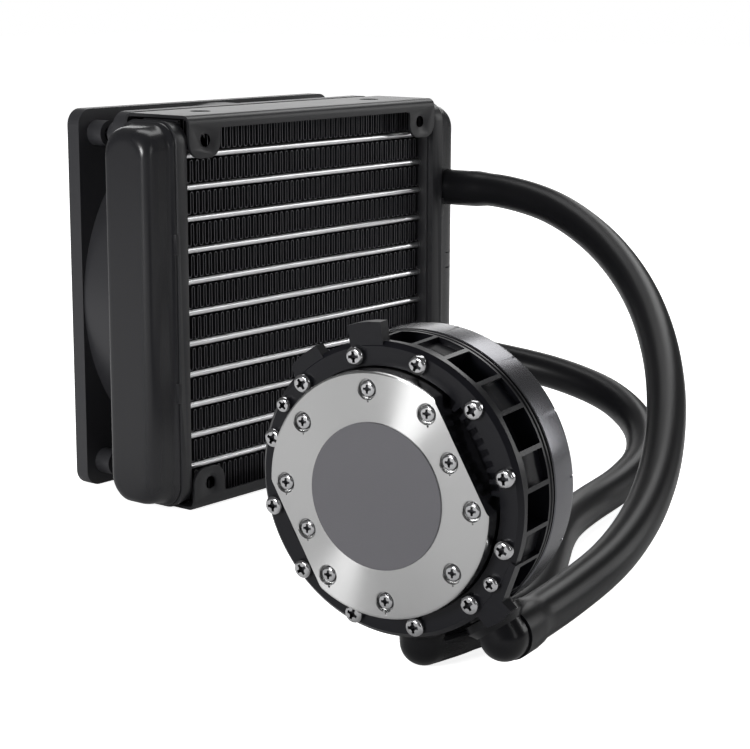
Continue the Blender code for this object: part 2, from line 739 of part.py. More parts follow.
def build_fan_frame(axis):
    """Both flanges, the duct, the screw bosses, the motor base with its struts and tube."""
    square = rounded_rectangle(FAN_SIZE, FAN_SIZE, FAN_CORNER, 4)
    loops = [square, circle(DUCT_RADIUS, DUCT_STEPS)]
    rear_start = FAN_DEPTH - FLANGE_THICKNESS
    front = outline_mesh("fan_frame", loops, FLANGE_THICKNESS)
    frame = add_object("fan_frame", front, PARTS, FAN_PLASTIC, axis)
    rear = outline_mesh("fan_rear_flange", loops, FLANGE_THICKNESS)
    duct_inner = DUCT_RADIUS + DUCT_STEP
    duct_outer = duct_inner + DUCT_WALL
    duct_low, duct_high = FLANGE_THICKNESS - PLATE_THICKNESS, rear_start + PLATE_THICKNESS
    duct_profile = (
        (duct_outer, duct_high),
        (duct_outer, duct_low),
        (duct_inner, duct_low),
        (duct_inner, duct_high),
    )
    tube_inner = BEARING_RADIUS + SEAT_GAP
    tube_outer = tube_inner + BEARING_TUBE_WALL
    base_profile = (
        (0, BASE_THICKNESS / 2),
        (tube_inner, BASE_THICKNESS / 2),
        (tube_inner, BEARING_TUBE_TOP),
        (tube_outer, BEARING_TUBE_TOP),
        (tube_outer, BASE_THICKNESS),
        (BASE_RADIUS, BASE_THICKNESS),
        (BASE_RADIUS, 0),
        (0, 0),
    )
    struts, bosses, holes = bmesh.new(), bmesh.new(), bmesh.new()
    half = STRUT_WIDTH / 2
    add_box(struts, (BASE_RADIUS - OVERSIZE, -half, 0), (duct_inner + half / 2, half, STRUT_THICKNESS))
    strut_mesh = finished_mesh("fan_struts", struts)
    strut_angles = [45 + 360 / STRUT_COUNT * i for i in range(STRUT_COUNT)]
    place = SCREW_SPACING / 2
    for x in (-place, place):
        for y in (-place, place):
            low, high = FLANGE_THICKNESS / 2, FLANGE_THICKNESS + BOSS_HEIGHT
            add_rod(bosses, (x, y, low), (x, y, high), BOSS_RADIUS, 10)
            add_rod(bosses, (x, y, FAN_DEPTH - high), (x, y, FAN_DEPTH - low), BOSS_RADIUS, 10)
            beyond = FAN_DEPTH + OVERSIZE
            add_rod(holes, (x, y, -OVERSIZE), (x, y, beyond), FAN_HOLE_RADIUS, 8)
    join(
        frame,
        add_object("fan_rear_flange", rear, CUTTERS, None, axis, shift(z=rear_start)),
        add_turned("fan_duct", duct_profile, DUCT_STEPS, CUTTERS, None, axis, closed=True),
        add_turned("fan_base", base_profile, 20, CUTTERS, None, axis),
        add_object("fan_struts", round_axis(strut_mesh, strut_angles), CUTTERS, None, axis),
        add_cutter("fan_bosses", bosses, axis),
    )
    cut(frame, add_cutter("fan_holes", holes, axis))


def blade_sheet():
    """One blade as an open sheet: swept towards its tip, pitched, and bowed along its chord."""
    along, across = 5, 3
    inner = HUB_RADIUS - HUB_WALL / 2
    outer = DUCT_RADIUS - BLADE_TIP_GAP
    shape = bmesh.new()
    bmesh.ops.create_grid(shape, x_segments=along, y_segments=across, size=0.5)
    for vert in shape.verts:
        u, v = vert.co.x + 0.5, vert.co.y + 0.5
        radius = inner + (outer - inner) * u
        chord = BLADE_CHORD * (1 - 0.12 * u)
        angle = BLADE_SWEEP * u * u + chord * (v - 0.5)
        end = BLADE_ROOT_END + (BLADE_TIP_END - BLADE_ROOT_END) * u
        bow = 0.35 * (v - v * v)
        height = BLADE_START + (end - BLADE_START) * (v + bow)
        vert.co = (radius * math.cos(angle), radius * math.sin(angle), height)
    return finished_mesh("fan_blades", shape)


def build_fan_rotor(axis):
    """Hub cup with its shaft boss, and the swept blades, moulded in one."""
    cap, wall = HUB_END - HUB_WALL, HUB_RADIUS - HUB_WALL
    boss_inner = SHAFT_RADIUS + SEAT_GAP
    profile = [(0, HUB_END)]
    profile += arc((HUB_RADIUS - HUB_EDGE, HUB_END - HUB_EDGE), HUB_EDGE, 90, 0, 2)
    profile += [
        (HUB_RADIUS, HUB_START),
        (wall, HUB_START),
        (wall, cap),
        (BOSS_RADIUS, cap),
        (BOSS_RADIUS, BEARING_TUBE_TOP + PLATE_THICKNESS),
        (boss_inner, BEARING_TUBE_TOP + PLATE_THICKNESS),
        (boss_inner, cap),
        (0, cap),
    ]
    rotor = add_turned("fan_rotor", profile, 30, PARTS, FAN_PLASTIC, axis)
    angles = [360 / BLADE_COUNT * i for i in range(BLADE_COUNT)]
    blades = add_object("fan_blades", round_axis(blade_sheet(), angles), CUTTERS, None, axis)
    thicken = blades.modifiers.new("thickness", "SOLIDIFY")
    thicken.thickness = BLADE_THICKNESS
    thicken.offset = 0
    join(rotor, blades)


def ring_profile(inner, outer, low, high):
    return ((outer, high), (outer, low), (inner, low), (inner, high))


def build_fan_insides(axis):
    """Bearing, stator, board, magnet ring and shaft, all inside the hub."""
    tube_outer = BEARING_RADIUS + SEAT_GAP + BEARING_TUBE_WALL
    board_low = BASE_THICKNESS + SEAT_GAP
    board_high = board_low + BOARD_THICKNESS
    stator_low = board_high + SEAT_GAP
    magnet_outer = HUB_RADIUS - HUB_WALL - SEAT_GAP
    magnet_inner = magnet_outer - MAGNET_WALL
    magnet_high = HUB_END - HUB_WALL - HUB_EDGE
    bearing_low = BASE_THICKNESS / 2 + SEAT_GAP
    bearing = ring_profile(BEARING_BORE, BEARING_RADIUS, bearing_low, BEARING_TUBE_TOP)
    board = ring_profile(tube_outer + SEAT_GAP, magnet_inner, board_low, board_high)
    magnet = ring_profile(magnet_inner, magnet_outer, board_high + SEAT_GAP, magnet_high)
    add_turned("fan_bearing", bearing, 10, PARTS, BRONZE, axis, closed=True)
    add_turned("fan_circuit_board", board, 16, PARTS, BOARD_GREEN, axis, closed=True)
    add_turned("fan_magnet_ring", magnet, 18, PARTS, MAGNET_GREY, axis, closed=True)
    loops = stator_loops(tube_outer + SEAT_GAP, STATOR_RADIUS)
    stator = outline_mesh("fan_stator", loops, STATOR_HEIGHT)
    add_object("fan_stator", stator, PARTS, COPPER, axis, shift(z=stator_low))
    shaft = bmesh.new()
    start = (0, 0, bearing_low + SEAT_GAP)
    add_rod(shaft, start, (0, 0, HUB_END - HUB_WALL - SEAT_GAP), SHAFT_RADIUS, 12)
    add_object("fan_shaft", finished_mesh("fan_shaft", shaft), PARTS, STEEL, axis)


def stator_loops(inner, outer):
    """Two rings joined by poles, with an open slot between each two poles."""
    wall = (outer - inner) / 5
    loops = [circle(outer, 18), circle(inner, 12)]
    for i in range(SLOT_COUNT):
        middle = 360 / SLOT_COUNT * i
        far = arc((0, 0), outer - wall, middle - 20, middle + 20, 2)
        near = arc((0, 0), inner + wall, middle + 16, middle - 16, 1)
        loops.append(far + near)
    return loops


def screw_profile(head_radius, head, radius, length):
    """A pan-head screw: its head stands on z 0, its shank runs down."""
    return (
        (0, head),
        (head_radius * 0.72, head),
        (head_radius, head * 0.55),
        (head_radius, 0),
        (radius, 0),
        (radius, -length),
        (0, -length),
    )


def build_fan_screws(axis):
    place = SCREW_SPACING / 2
    corners = ((-place, place), (place, place), (-place, -place), (place, -place))
    profile = screw_profile(
        FAN_SCREW_HEAD_RADIUS, FAN_SCREW_HEAD, FAN_SCREW_RADIUS, FAN_SCREW_LENGTH
    )
    for number, (x, y) in enumerate(corners, start=1):
        placed = shift(x, y, FAN_DEPTH + SEAT_GAP)
        add_turned(f"fan_screw_{number:02d}", profile, 8, PARTS, DARK_STEEL, axis, placed)


# Pump head


def head_matrix():
    """Local Z points out of the cold plate, local X is up."""
    out = Vector(
        (
            -math.cos(HEAD_TILT) * math.cos(HEAD_YAW),
            -math.cos(HEAD_TILT) * math.sin(HEAD_YAW),
            -math.sin(HEAD_TILT),
        )
    )
    up = (Vector((0, 0, 1)) - out * out.z).normalized()
    side = out.cross(up)
    turn = Matrix((up, side, out)).transposed().to_4x4()
    return Matrix.Translation(HEAD_PLACE) @ turn


def window_angles():
    return [WINDOW_PHASE + 360 / WINDOW_COUNT * i for i in range(WINDOW_COUNT)]


def ring_screw_angles():
    return [RING_SCREW_PHASE - 360 / RING_SCREW_COUNT * i for i in range(RING_SCREW_COUNT)]


def ring_housing_profile():
    seat = COLD_PLATE_RADIUS + PLATE_CLEARANCE
    groove_in = GROOVE_RADIUS - GROOVE_WIDTH / 2
    groove_out = GROOVE_RADIUS + GROOVE_WIDTH / 2
    neck_end = RING_LENGTH + NECK_LENGTH
    cap_inner = CAP_RADIUS - CAP_WALL
    well_outer = WELL_RADIUS + WELL_WALL
    return (
        (0, -WELL_FLOOR),
        (WELL_RADIUS, -WELL_FLOOR),
        (WELL_RADIUS, -CHAMBER_FLOOR),
        (CHAMBER_RADIUS, -CHAMBER_FLOOR),
        (CHAMBER_RADIUS, -RECESS_DEPTH),
        (groove_in, -RECESS_DEPTH),
        (groove_in, -RECESS_DEPTH - GROOVE_DEPTH),
        (groove_out, -RECESS_DEPTH - GROOVE_DEPTH),
        (groove_out, -RECESS_DEPTH),
        (seat, -RECESS_DEPTH),
        (seat, 0),
        (RING_RADIUS - RING_BEVEL, 0),
        (RING_RADIUS, -RING_BEVEL),
        (RING_RADIUS, -RING_LENGTH),
        (NECK_RADIUS, -RING_LENGTH),
        (NECK_RADIUS, -neck_end),
        (cap_inner + SEAT_GAP, -neck_end),
        (cap_inner + SEAT_GAP, -RING_LENGTH),
        (well_outer, -RING_LENGTH),
        (well_outer, -WELL_FLOOR - WELL_WALL),
        (0, -WELL_FLOOR - WELL_WALL),
    )


def window_cutters(head):
    """The deep windows with their ramps, and the shallow scoops between them."""
    beyond = RING_RADIUS + OVERSIZE
    slope = (WINDOW_FRONT - RAMP_FRONT) / (RING_RADIUS - RAMP_FLOOR)
    ramp_end = -RAMP_FRONT + slope * OVERSIZE
    window = (
        (WINDOW_FLOOR, -WINDOW_REAR),
        (beyond, -WINDOW_REAR),
        (beyond, ramp_end),
        (RAMP_FLOOR, -WINDOW_FRONT),
        (WINDOW_FLOOR, -WINDOW_FRONT),
    )
    scoop = (
        (SCOOP_FLOOR, -WINDOW_REAR),
        (beyond, -WINDOW_REAR),
        (beyond, -SCOOP_FRONT),
        (SCOOP_FLOOR, -SCOOP_FRONT),
    )
    windows = round_axis(radial_block("windows", window, WINDOW_HALF_WIDTH), window_angles())
    scoops = round_axis(radial_block("scoops", scoop, SCOOP_HALF_WIDTH), ring_screw_angles())
    return (
        add_object("windows", windows, CUTTERS, None, head),
        add_object("scoops", scoops, CUTTERS, None, head),
    )


def front_cutters(head):
    """Screw holes through the ring, and the rack of notches beside the plate's flat."""
    holes, notch = bmesh.new(), bmesh.new()
    spots = [(RING_SCREW_CIRCLE, a) for a in ring_screw_angles()]
    spots += [(SMALL_SCREW_CIRCLE, a) for a in SMALL_SCREW_ANGLES]
    for radius, angle in spots:
        x, y = polar(radius, angle)
        depth = CAP_START + OVERSIZE if radius == RING_SCREW_CIRCLE else WINDOW_FRONT + OVERSIZE
        add_rod(holes, (x, y, OVERSIZE), (x, y, -depth), RING_SCREW_HOLE, 8)
    seat = COLD_PLATE_RADIUS + PLATE_CLEARANCE
    low = (seat - OVERSIZE, -RACK_HALF_WIDTH, -RECESS_DEPTH)
    add_box(notch, low, (seat + RACK_DEPTH, RACK_HALF_WIDTH, OVERSIZE))
    middle = (RACK_COUNT - 1) / 2
    angles = [FLAT_ANGLE + RACK_PITCH * (i - middle) for i in range(RACK_COUNT)]
    rack = round_axis(finished_mesh("rack_notches", notch), angles)
    return (
        add_cutter("ring_screw_holes", holes, head),
        add_object("rack_notches", rack, CUTTERS, None, head),
    )


def tab_outlines():
    """The top tab and the two ears, in radius and angle, counterclockwise."""
    top = [(39.2, 2), (39.2, 6.5), (39.1, 11), (38.9, 15.2)]
    upper = [(37.2, 30.6), (37.2, 37.5), (37.1, 43.7), (35.6, 45.3)]
    lower = [(38.2, -137.3), (39.3, -131.5), (39.3, -126), (36.6, -125.8), (35.3, -110.8)]
    outlines = []
    for outer in (top, upper, lower):
        first, last = outer[0][1], outer[-1][1]
        root = [polar(TAB_ROOT, last + 1), polar(TAB_ROOT, (first + last) / 2)]
        root.append(polar(TAB_ROOT, first - 1))
        outlines.append([polar(radius * MM, angle) for radius, angle in outer] + root)
    return outlines


def build_pump_ring(head):
    """The black bayonet housing: windows, scoops, tabs, ears and the two hose ports."""
    ring = add_turned("pump_ring", ring_housing_profile(), RING_STEPS, PARTS, RING_PLASTIC, head)
    cut(ring, *window_cutters(head))
    for number, outline in enumerate(tab_outlines(), start=1):
        tab = outline_mesh(f"ring_tab_{number}", [outline], TAB_THICKNESS - FILM_GAP)
        placed = shift(z=-TAB_THICKNESS)
        join(ring, add_object(f"ring_tab_{number}", tab, CUTTERS, None, head, placed))
    for side, (angle, seat, _) in ELBOWS.items():
        frame = port_frame(angle)
        boss, bore, channel = bmesh.new(), bmesh.new(), bmesh.new()
        top = max(seat, NECK_RADIUS + PLATE_CLEARANCE)
        add_rod(boss, (0, 0, PORT_BOSS_ROOT), (0, 0, top), PORT_BOSS_RADIUS, 16)
        stem_end = seat - STEM_LENGTH - SEAT_GAP
        add_rod(bore, (0, 0, stem_end), (0, 0, seat + OVERSIZE), STEM_RADIUS + SEAT_GAP, 12)
        channel_start = (0, 0, CHAMBER_RADIUS - OVERSIZE)
        add_rod(channel, channel_start, (0, 0, stem_end + PLATE_THICKNESS), ELBOW_BORE_RADIUS, 8)
        join(ring, add_cutter("port_boss_" + side, boss, head, frame))
        cut(ring, add_cutter("port_channel_" + side, channel, head, frame))
        if seat < RING_RADIUS:
            cut(ring, port_flat(side, angle, seat, head))
        cut(ring, add_cutter("port_bore_" + side, bore, head, frame))
    cut(ring, *front_cutters(head))


def port_frame(angle):
    """Local Z points out through a hose port, local X to the rear of the head."""
    turn = Matrix.Rotation(math.radians(angle), 4, "Z")
    radial = turn @ Vector((1, 0, 0))
    rear = Vector((0, 0, -1))
    axes = Matrix((rear, radial.cross(rear), radial)).transposed().to_4x4()
    return shift(z=-ELBOW_DEPTH) @ axes


def port_flat(side, angle, seat, head):
    """The flat that the left elbow turns on, cut into the ring behind its flange."""
    shape = bmesh.new()
    half = RING_RADIUS / 2
    rear = ELBOW_DEPTH + PORT_BOSS_RADIUS + OVERSIZE
    add_box(shape, (seat, -half, -rear), (seat + 3 * OVERSIZE, half, -PORT_FLAT_FRONT))
    turn = Matrix.Rotation(math.radians(angle), 4, "Z")
    return add_cutter("port_flat_" + side, shape, head, turn)


def build_cold_plate(head):
    """Turned plate with two flats; its screws are fused into their counterbores."""
    bottom = -RECESS_DEPTH + SEAT_GAP
    profile = (
        (0, COLD_PLATE_FRONT),
        (COLD_PLATE_RADIUS - COLD_PLATE_BEVEL, COLD_PLATE_FRONT),
        (COLD_PLATE_RADIUS, COLD_PLATE_FRONT - COLD_PLATE_BEVEL),
        (COLD_PLATE_RADIUS, bottom),
        (COLD_BLOCK_RADIUS, bottom),
        (COLD_BLOCK_RADIUS, bottom - COLD_BLOCK_DEPTH),
        (0, bottom - COLD_BLOCK_DEPTH),
    )
    plate = add_turned("cold_plate", profile, RING_STEPS, PARTS, TURNED_METAL, head)
    flats, pockets, screws = bmesh.new(), bmesh.new(), bmesh.new()
    wide = COLD_PLATE_RADIUS
    top = COLD_PLATE_FRONT + OVERSIZE
    for facing in (-1, 1):
        near, far = facing * FLAT_DISTANCE, facing * (wide + OVERSIZE)
        low = (min(near, far), -wide, -RECESS_DEPTH - OVERSIZE)
        add_box(flats, low, (max(near, far), wide, top))
    spots = [(PLATE_SCREW_CIRCLE, a) for a in PLATE_SCREW_OFFSETS]
    spots += [(FLAT_SCREW_CIRCLE, a) for a in FLAT_SCREW_OFFSETS]
    floor = COLD_PLATE_FRONT - COUNTERBORE_DEPTH
    for radius, angle in spots:
        x, y = polar(radius, angle)
        add_rod(pockets, (x, y, floor), (x, y, top), COUNTERBORE_RADIUS, 10)
        head_top = COLD_PLATE_FRONT - PLATE_SCREW_DROP
        add_rod(screws, (x, y, floor - SEAT_GAP), (x, y, head_top), PLATE_SCREW_RADIUS, 8)
    turn = Matrix.Rotation(math.radians(FLAT_ANGLE), 4, "Z")
    cut(plate, add_cutter("plate_flats", flats, head, turn))
    cut(plate, add_cutter("plate_pockets", pockets, head, turn))
    join(plate, add_cutter("plate_screws", screws, head, turn))
    paste_low = COLD_PLATE_FRONT + FILM_GAP
    paste = ((0, paste_low + PASTE_THICKNESS), (PASTE_RADIUS, paste_low + PASTE_THICKNESS))
    paste += ((PASTE_RADIUS, paste_low), (0, paste_low))
    add_turned("thermal_paste", paste, 32, PARTS, PASTE_GREY, head)


def build_pump_cap(head):
    """The satin back cap, with screw holes, rim notches and room for the ports and a hose."""
    inner = CAP_RADIUS - CAP_WALL
    floor = CAP_END - CAP_BACK
    profile = [(0, -floor), (inner, -floor), (inner, -CAP_START), (CAP_RADIUS, -CAP_START)]
    profile += arc((CAP_RADIUS - CAP_EDGE, -CAP_END + CAP_EDGE), CAP_EDGE, 0, -90, 3)
    profile.append((0, -CAP_END))
    cap = add_turned("pump_cap", profile, RING_STEPS, PARTS, GUNMETAL, head)
    holes, notch, relief = bmesh.new(), bmesh.new(), bmesh.new()
    for angle in ring_screw_angles():
        x, y = polar(RING_SCREW_CIRCLE, angle)
        start = (x, y, -CAP_START + OVERSIZE)
        add_rod(holes, start, (x, y, -CAP_START - CAP_HOLE_DEPTH), RING_SCREW_HOLE, 8)
    depth, half, length = CAP_NOTCH_SIZE
    low = (CAP_RADIUS - depth, -half, -CAP_END - OVERSIZE)
    add_box(notch, low, (CAP_RADIUS + OVERSIZE, half, -CAP_END + length))
    angles = [CAP_NOTCH_PHASE + 360 / CAP_NOTCH_COUNT * i for i in range(CAP_NOTCH_COUNT)]
    notches = round_axis(finished_mesh("cap_notches", notch), angles)
    half_relief = RING_RADIUS / 2
    low = (-CAP_RADIUS - OVERSIZE, -half_relief, -CAP_END - OVERSIZE)
    add_box(relief, low, (-RELIEF_DISTANCE, half_relief, -CAP_START + OVERSIZE))
    cut(cap, add_cutter("cap_screw_holes", holes, head))
    cut(cap, add_cutter("cap_relief", relief, head))
    cut(cap, add_object("cap_notches", notches, CUTTERS, None, head))
    for side, (angle, _, _) in ELBOWS.items():
        passage = bmesh.new()
        start, end = (0, 0, PORT_BOSS_ROOT - OVERSIZE), (0, 0, CAP_RADIUS + OVERSIZE)
        add_rod(passage, start, end, PORT_BOSS_RADIUS + PLATE_CLEARANCE, 16)
        cut(cap, add_cutter("cap_port_" + side, passage, head, port_frame(angle)))


def build_ring_screws(head):
    reach = CAP_START + RING_SCREW_REACH
    profile = screw_profile(RING_SCREW_HEAD_RADIUS, RING_SCREW_HEAD, RING_SCREW_RADIUS, reach)
    for number, angle in enumerate(ring_screw_angles(), start=1):
        placed = shift(*polar(RING_SCREW_CIRCLE, angle), FILM_GAP)
        add_turned(f"ring_screw_{number:02d}", profile, 8, PARTS, CHROME, head, placed)
    profile = screw_profile(
        SMALL_SCREW_HEAD_RADIUS, RING_SCREW_HEAD, RING_SCREW_RADIUS, SMALL_SCREW_LENGTH
    )
    for number, angle in enumerate(SMALL_SCREW_ANGLES, start=1):
        placed = shift(*polar(SMALL_SCREW_CIRCLE, angle), FILM_GAP)
        add_turned(f"small_screw_{number:02d}", profile, 8, PARTS, CHROME, head, placed)


def flow_plate_low():
    return -RECESS_DEPTH - COLD_BLOCK_DEPTH - SEAT_GAP - FLOW_PLATE_THICKNESS


def build_pump_insides(head):
    """Gasket, flow plate, impeller with its magnet, shaft, stator and board."""
    half = GROOVE_WIDTH / 2 - SEAT_GAP
    gasket_low = -RECESS_DEPTH - GROOVE_DEPTH + SEAT_GAP
    gasket_high = -RECESS_DEPTH
    gasket = ring_profile(GROOVE_RADIUS - half, GROOVE_RADIUS + half, gasket_low, gasket_high)
    add_turned("pump_gasket", gasket, 24, PARTS, SEAL_RUBBER, head, closed=True)

    bearing_hole = PUMP_SHAFT_RADIUS + PUMP_SHAFT_CLEARANCE
    loops = [circle(CHAMBER_RADIUS - SEAT_GAP, 24), circle(bearing_hole, 8)]
    for i in range(SLOT_COUNT):
        centre = polar(FLOW_HOLE_CIRCLE, 360 / SLOT_COUNT * i)
        loops.append(circle(FLOW_HOLE_RADIUS, 6, centre))
    plate = outline_mesh("flow_plate", loops, FLOW_PLATE_THICKNESS)
    add_object("flow_plate", plate, PARTS, WHITE_PLASTIC, head, shift(z=flow_plate_low()))

    disc_low = -CHAMBER_FLOOR + SEAT_GAP
    disc_high = disc_low + IMPELLER_DISC
    magnet_low = -WELL_FLOOR + SEAT_GAP
    impeller = (
        (bearing_hole, disc_high + VANE_HEIGHT),
        (2 * bearing_hole, disc_high + VANE_HEIGHT),
        (2 * bearing_hole, disc_high),
        (IMPELLER_RADIUS, disc_high),
        (IMPELLER_RADIUS, disc_low),
        (PUMP_MAGNET_RADIUS, disc_low),
        (PUMP_MAGNET_RADIUS, magnet_low),
        (bearing_hole, magnet_low),
    )
    rotor = add_turned("pump_impeller", impeller, 16, PARTS, WHITE_PLASTIC, head, closed=True)
    vane = bmesh.new()
    low = (1.5 * bearing_hole, -IMPELLER_DISC / 4, disc_low + IMPELLER_DISC / 2)
    add_box(vane, low, (IMPELLER_RADIUS - SEAT_GAP, IMPELLER_DISC / 4, disc_high + VANE_HEIGHT))
    vanes = round_axis(
        finished_mesh("impeller_vanes", vane),
        [360 / IMPELLER_VANES * i for i in range(IMPELLER_VANES)],
    )
    join(rotor, add_object("impeller_vanes", vanes, CUTTERS, None, head))

    shaft = bmesh.new()
    shaft_high = flow_plate_low() + FLOW_PLATE_THICKNESS
    add_rod(shaft, (0, 0, magnet_low), (0, 0, shaft_high), PUMP_SHAFT_RADIUS, 12)
    add_object("impeller_shaft", finished_mesh("impeller_shaft", shaft), PARTS, STEEL, head)

    stator_high = -RING_LENGTH - SEAT_GAP
    inner = WELL_RADIUS + WELL_WALL + SEAT_GAP
    stator = outline_mesh(
        "pump_stator", stator_loops(inner, PUMP_STATOR_RADIUS), PUMP_STATOR_HEIGHT
    )
    placed = shift(z=stator_high - PUMP_STATOR_HEIGHT)
    add_object("pump_stator", stator, PARTS, COPPER, head, placed)
    board_low = -CAP_END + CAP_BACK + SEAT_GAP
    board = outline_mesh("pump_circuit_board", [circle(PUMP_BOARD_RADIUS, 20)], BOARD_THICKNESS)
    add_object("pump_circuit_board", board, PARTS, BOARD_GREEN, head, shift(z=board_low))


def elbow_matrix(angle, seat, turn):
    """Origin at the knuckle, local Z out along the swivel axis, local X along the outlet."""
    knuckle = seat + SEAT_GAP + ELBOW_KNUCKLE
    return port_frame(angle) @ shift(z=knuckle) @ Matrix.Rotation(math.radians(turn), 4, "Z")


def build_elbow(side, head):
    """A swivelling hose elbow, its stem in the port and its seal in the stem's groove."""
    angle, seat, turn = ELBOWS[side]
    placed = elbow_matrix(angle, seat, turn)
    base = -ELBOW_KNUCKLE
    stem_end = base - SEAT_GAP - STEM_LENGTH
    groove_low = base - SEAT_GAP - SEAL_DROP - SEAL_HEIGHT - FILM_GAP
    groove_high = base - SEAT_GAP - SEAL_DROP + FILM_GAP
    profile = arc((0, 0), ELBOW_RADIUS, 90, 0, 4)
    profile[0] = (0, ELBOW_RADIUS)
    profile += [
        (ELBOW_RADIUS, base + 2 * ELBOW_COLLAR),
        (ELBOW_COLLAR_RADIUS, base + ELBOW_COLLAR),
        (ELBOW_COLLAR_RADIUS, base),
        (STEM_RADIUS, base),
        (STEM_RADIUS, groove_high),
        (STEM_GROOVE_RADIUS, groove_high),
        (STEM_GROOVE_RADIUS, groove_low),
        (STEM_RADIUS, groove_low),
        (STEM_RADIUS, stem_end),
        (0, stem_end),
    ]
    elbow = add_turned("elbow_" + side, profile, 16, PARTS, FAN_PLASTIC, head, placed)
    outlet, across, along = bmesh.new(), bmesh.new(), bmesh.new()
    add_rod(outlet, (0, 0, 0), (ELBOW_OUTLET, 0, 0), ELBOW_RADIUS, 16)
    join(elbow, add_cutter("outlet_" + side, outlet, head, placed))
    add_rod(across, (0, 0, 0), (ELBOW_OUTLET + OVERSIZE, 0, 0), ELBOW_BORE_RADIUS, 8)
    add_rod(along, (0, 0, stem_end - OVERSIZE), (0, 0, ELBOW_BORE_RADIUS), ELBOW_BORE_RADIUS, 8)
    cut(elbow, add_cutter("outlet_bore_" + side, across, head, placed))
    cut(elbow, add_cutter("stem_bore_" + side, along, head, placed))
    inner = STEM_GROOVE_RADIUS + SEAT_GAP
    outer = STEM_RADIUS + FILM_GAP
    low = groove_low + FILM_GAP
    seal = ring_profile(inner, outer, low, low + SEAL_HEIGHT)
    add_turned("elbow_seal_" + side, seal, 12, PARTS, SEAL_RUBBER, head, placed, closed=True)


# Hoses


def smooth_points(route):
    """The two end points, and evenly spaced points on a smooth curve through the others."""
    ends = np.array(route) * MM
    knots = ends[1:-1]
    padded = np.vstack([ends[:1], knots, ends[-1:]])
    fine = []
    for a, b, c, d in zip(padded, padded[1:], padded[2:], padded[3:]):
        for t in np.linspace(0, 1, 12, endpoint=False):
            turn = 2 * b + (c - a) * t + (2 * a - 5 * b + 4 * c - d) * t**2
            fine.append(0.5 * (turn + (3 * b - a - 3 * c + d) * t**3))
    fine = np.array(fine + [knots[-1]])
    run = np.concatenate([[0], np.cumsum(np.linalg.norm(np.diff(fine, axis=0), axis=1))])
    stops = np.linspace(0, run[-1], round(run[-1] / HOSE_POINT_SPACING) + 1)
    inner = np.stack([np.interp(stops, run, fine[:, axis]) for axis in range(3)], axis=1)
    return np.vstack([ends[:1], inner, ends[-1:]])


def build_hose(name, route):
    curve = bpy.data.curves.new(name, "CURVE")
    curve.dimensions = "3D"
    curve.bevel_depth = HOSE_RADIUS
    curve.bevel_resolution = 4
    curve.use_fill_caps = True
    points = smooth_points(route)
    spline = curve.splines.new("POLY")
    spline.points.add(len(points) - 1)
    for point, place in zip(spline.points, points):
        point.co = (*place, 1)
    hose = bpy.data.objects.new(name, curve)
    curve.materials.append(HOSE_RUBBER)
    PARTS.objects.link(hose)


def main():
    build_tube_core()
    build_fin_rows()
    build_side_plate("side_plate_top", RADIATOR_HEIGHT, False)
    build_side_plate("side_plate_bottom", 0, True)
    build_tanks()
    fan_axis = add_empty("fan_axis", fan_frame_at())
    build_fan_frame(fan_axis)
    build_fan_rotor(fan_axis)
    build_fan_insides(fan_axis)
    build_fan_screws(fan_axis)
    head = add_empty("pump_head_axis", head_matrix())
    build_pump_ring(head)
    build_cold_plate(head)
    build_pump_cap(head)
    build_ring_screws(head)
    build_pump_insides(head)
    for side in ELBOWS:
        build_elbow(side, head)
    for place, route in HOSE_ROUTES.items():
        build_hose("hose_" + place, route)


main()
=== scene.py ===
"""Dresses the all-in-one CPU liquid cooler: a radiator with its fan, two hoses and the pump head.

Lengths are metres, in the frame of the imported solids. Names that end in _MM hold millimetres.
"""

import logging
import math
from collections.abc import Callable, Mapping, Sequence
from dataclasses import dataclass
from enum import Enum

import bmesh
import bpy
import numpy as np
from mathutils import Matrix, Vector


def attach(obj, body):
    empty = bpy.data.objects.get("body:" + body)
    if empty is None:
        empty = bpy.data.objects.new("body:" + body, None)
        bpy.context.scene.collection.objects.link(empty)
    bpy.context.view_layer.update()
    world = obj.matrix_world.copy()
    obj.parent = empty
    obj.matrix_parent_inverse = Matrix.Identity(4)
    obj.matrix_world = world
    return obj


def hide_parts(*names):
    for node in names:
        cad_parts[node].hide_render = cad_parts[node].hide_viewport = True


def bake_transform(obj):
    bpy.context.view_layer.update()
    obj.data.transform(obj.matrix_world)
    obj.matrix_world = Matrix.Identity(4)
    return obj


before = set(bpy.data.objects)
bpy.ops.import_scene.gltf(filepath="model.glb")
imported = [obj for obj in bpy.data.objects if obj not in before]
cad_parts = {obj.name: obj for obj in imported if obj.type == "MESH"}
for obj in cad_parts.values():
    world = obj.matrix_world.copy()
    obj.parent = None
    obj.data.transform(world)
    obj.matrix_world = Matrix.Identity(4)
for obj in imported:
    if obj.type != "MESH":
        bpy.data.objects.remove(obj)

LOG = logging.getLogger("liquid_cooler")
MM = 0.001
WELD = 1e-6
BEYOND = 2 * MM
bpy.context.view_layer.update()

Shape = bmesh.types.BMesh
Pair = tuple[float, float]
Point2 = tuple[float, float]
Point3 = tuple[float, float, float]
NodeInputs = Mapping[int | str, object]

FRONT_VIEW = Matrix.Rotation(math.pi / 2, 4, "X")
SIDE_VIEW = Matrix(((0, 0, 1, 0), (1, 0, 0, 0), (0, 1, 0, 0), (0, 0, 0, 1)))


class Carving(Enum):
    """What another shape does to the shape that is carved."""

    ADD = "UNION"
    CUT = "DIFFERENCE"
    KEEP = "INTERSECT"


class Body(Enum):
    """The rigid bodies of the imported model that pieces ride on."""

    COOLER = "cooler"
    FAN_WHEEL = "fan_wheel"
    LEFT_ELBOW = "left_elbow"
    RIGHT_ELBOW = "right_elbow"


# Shapes


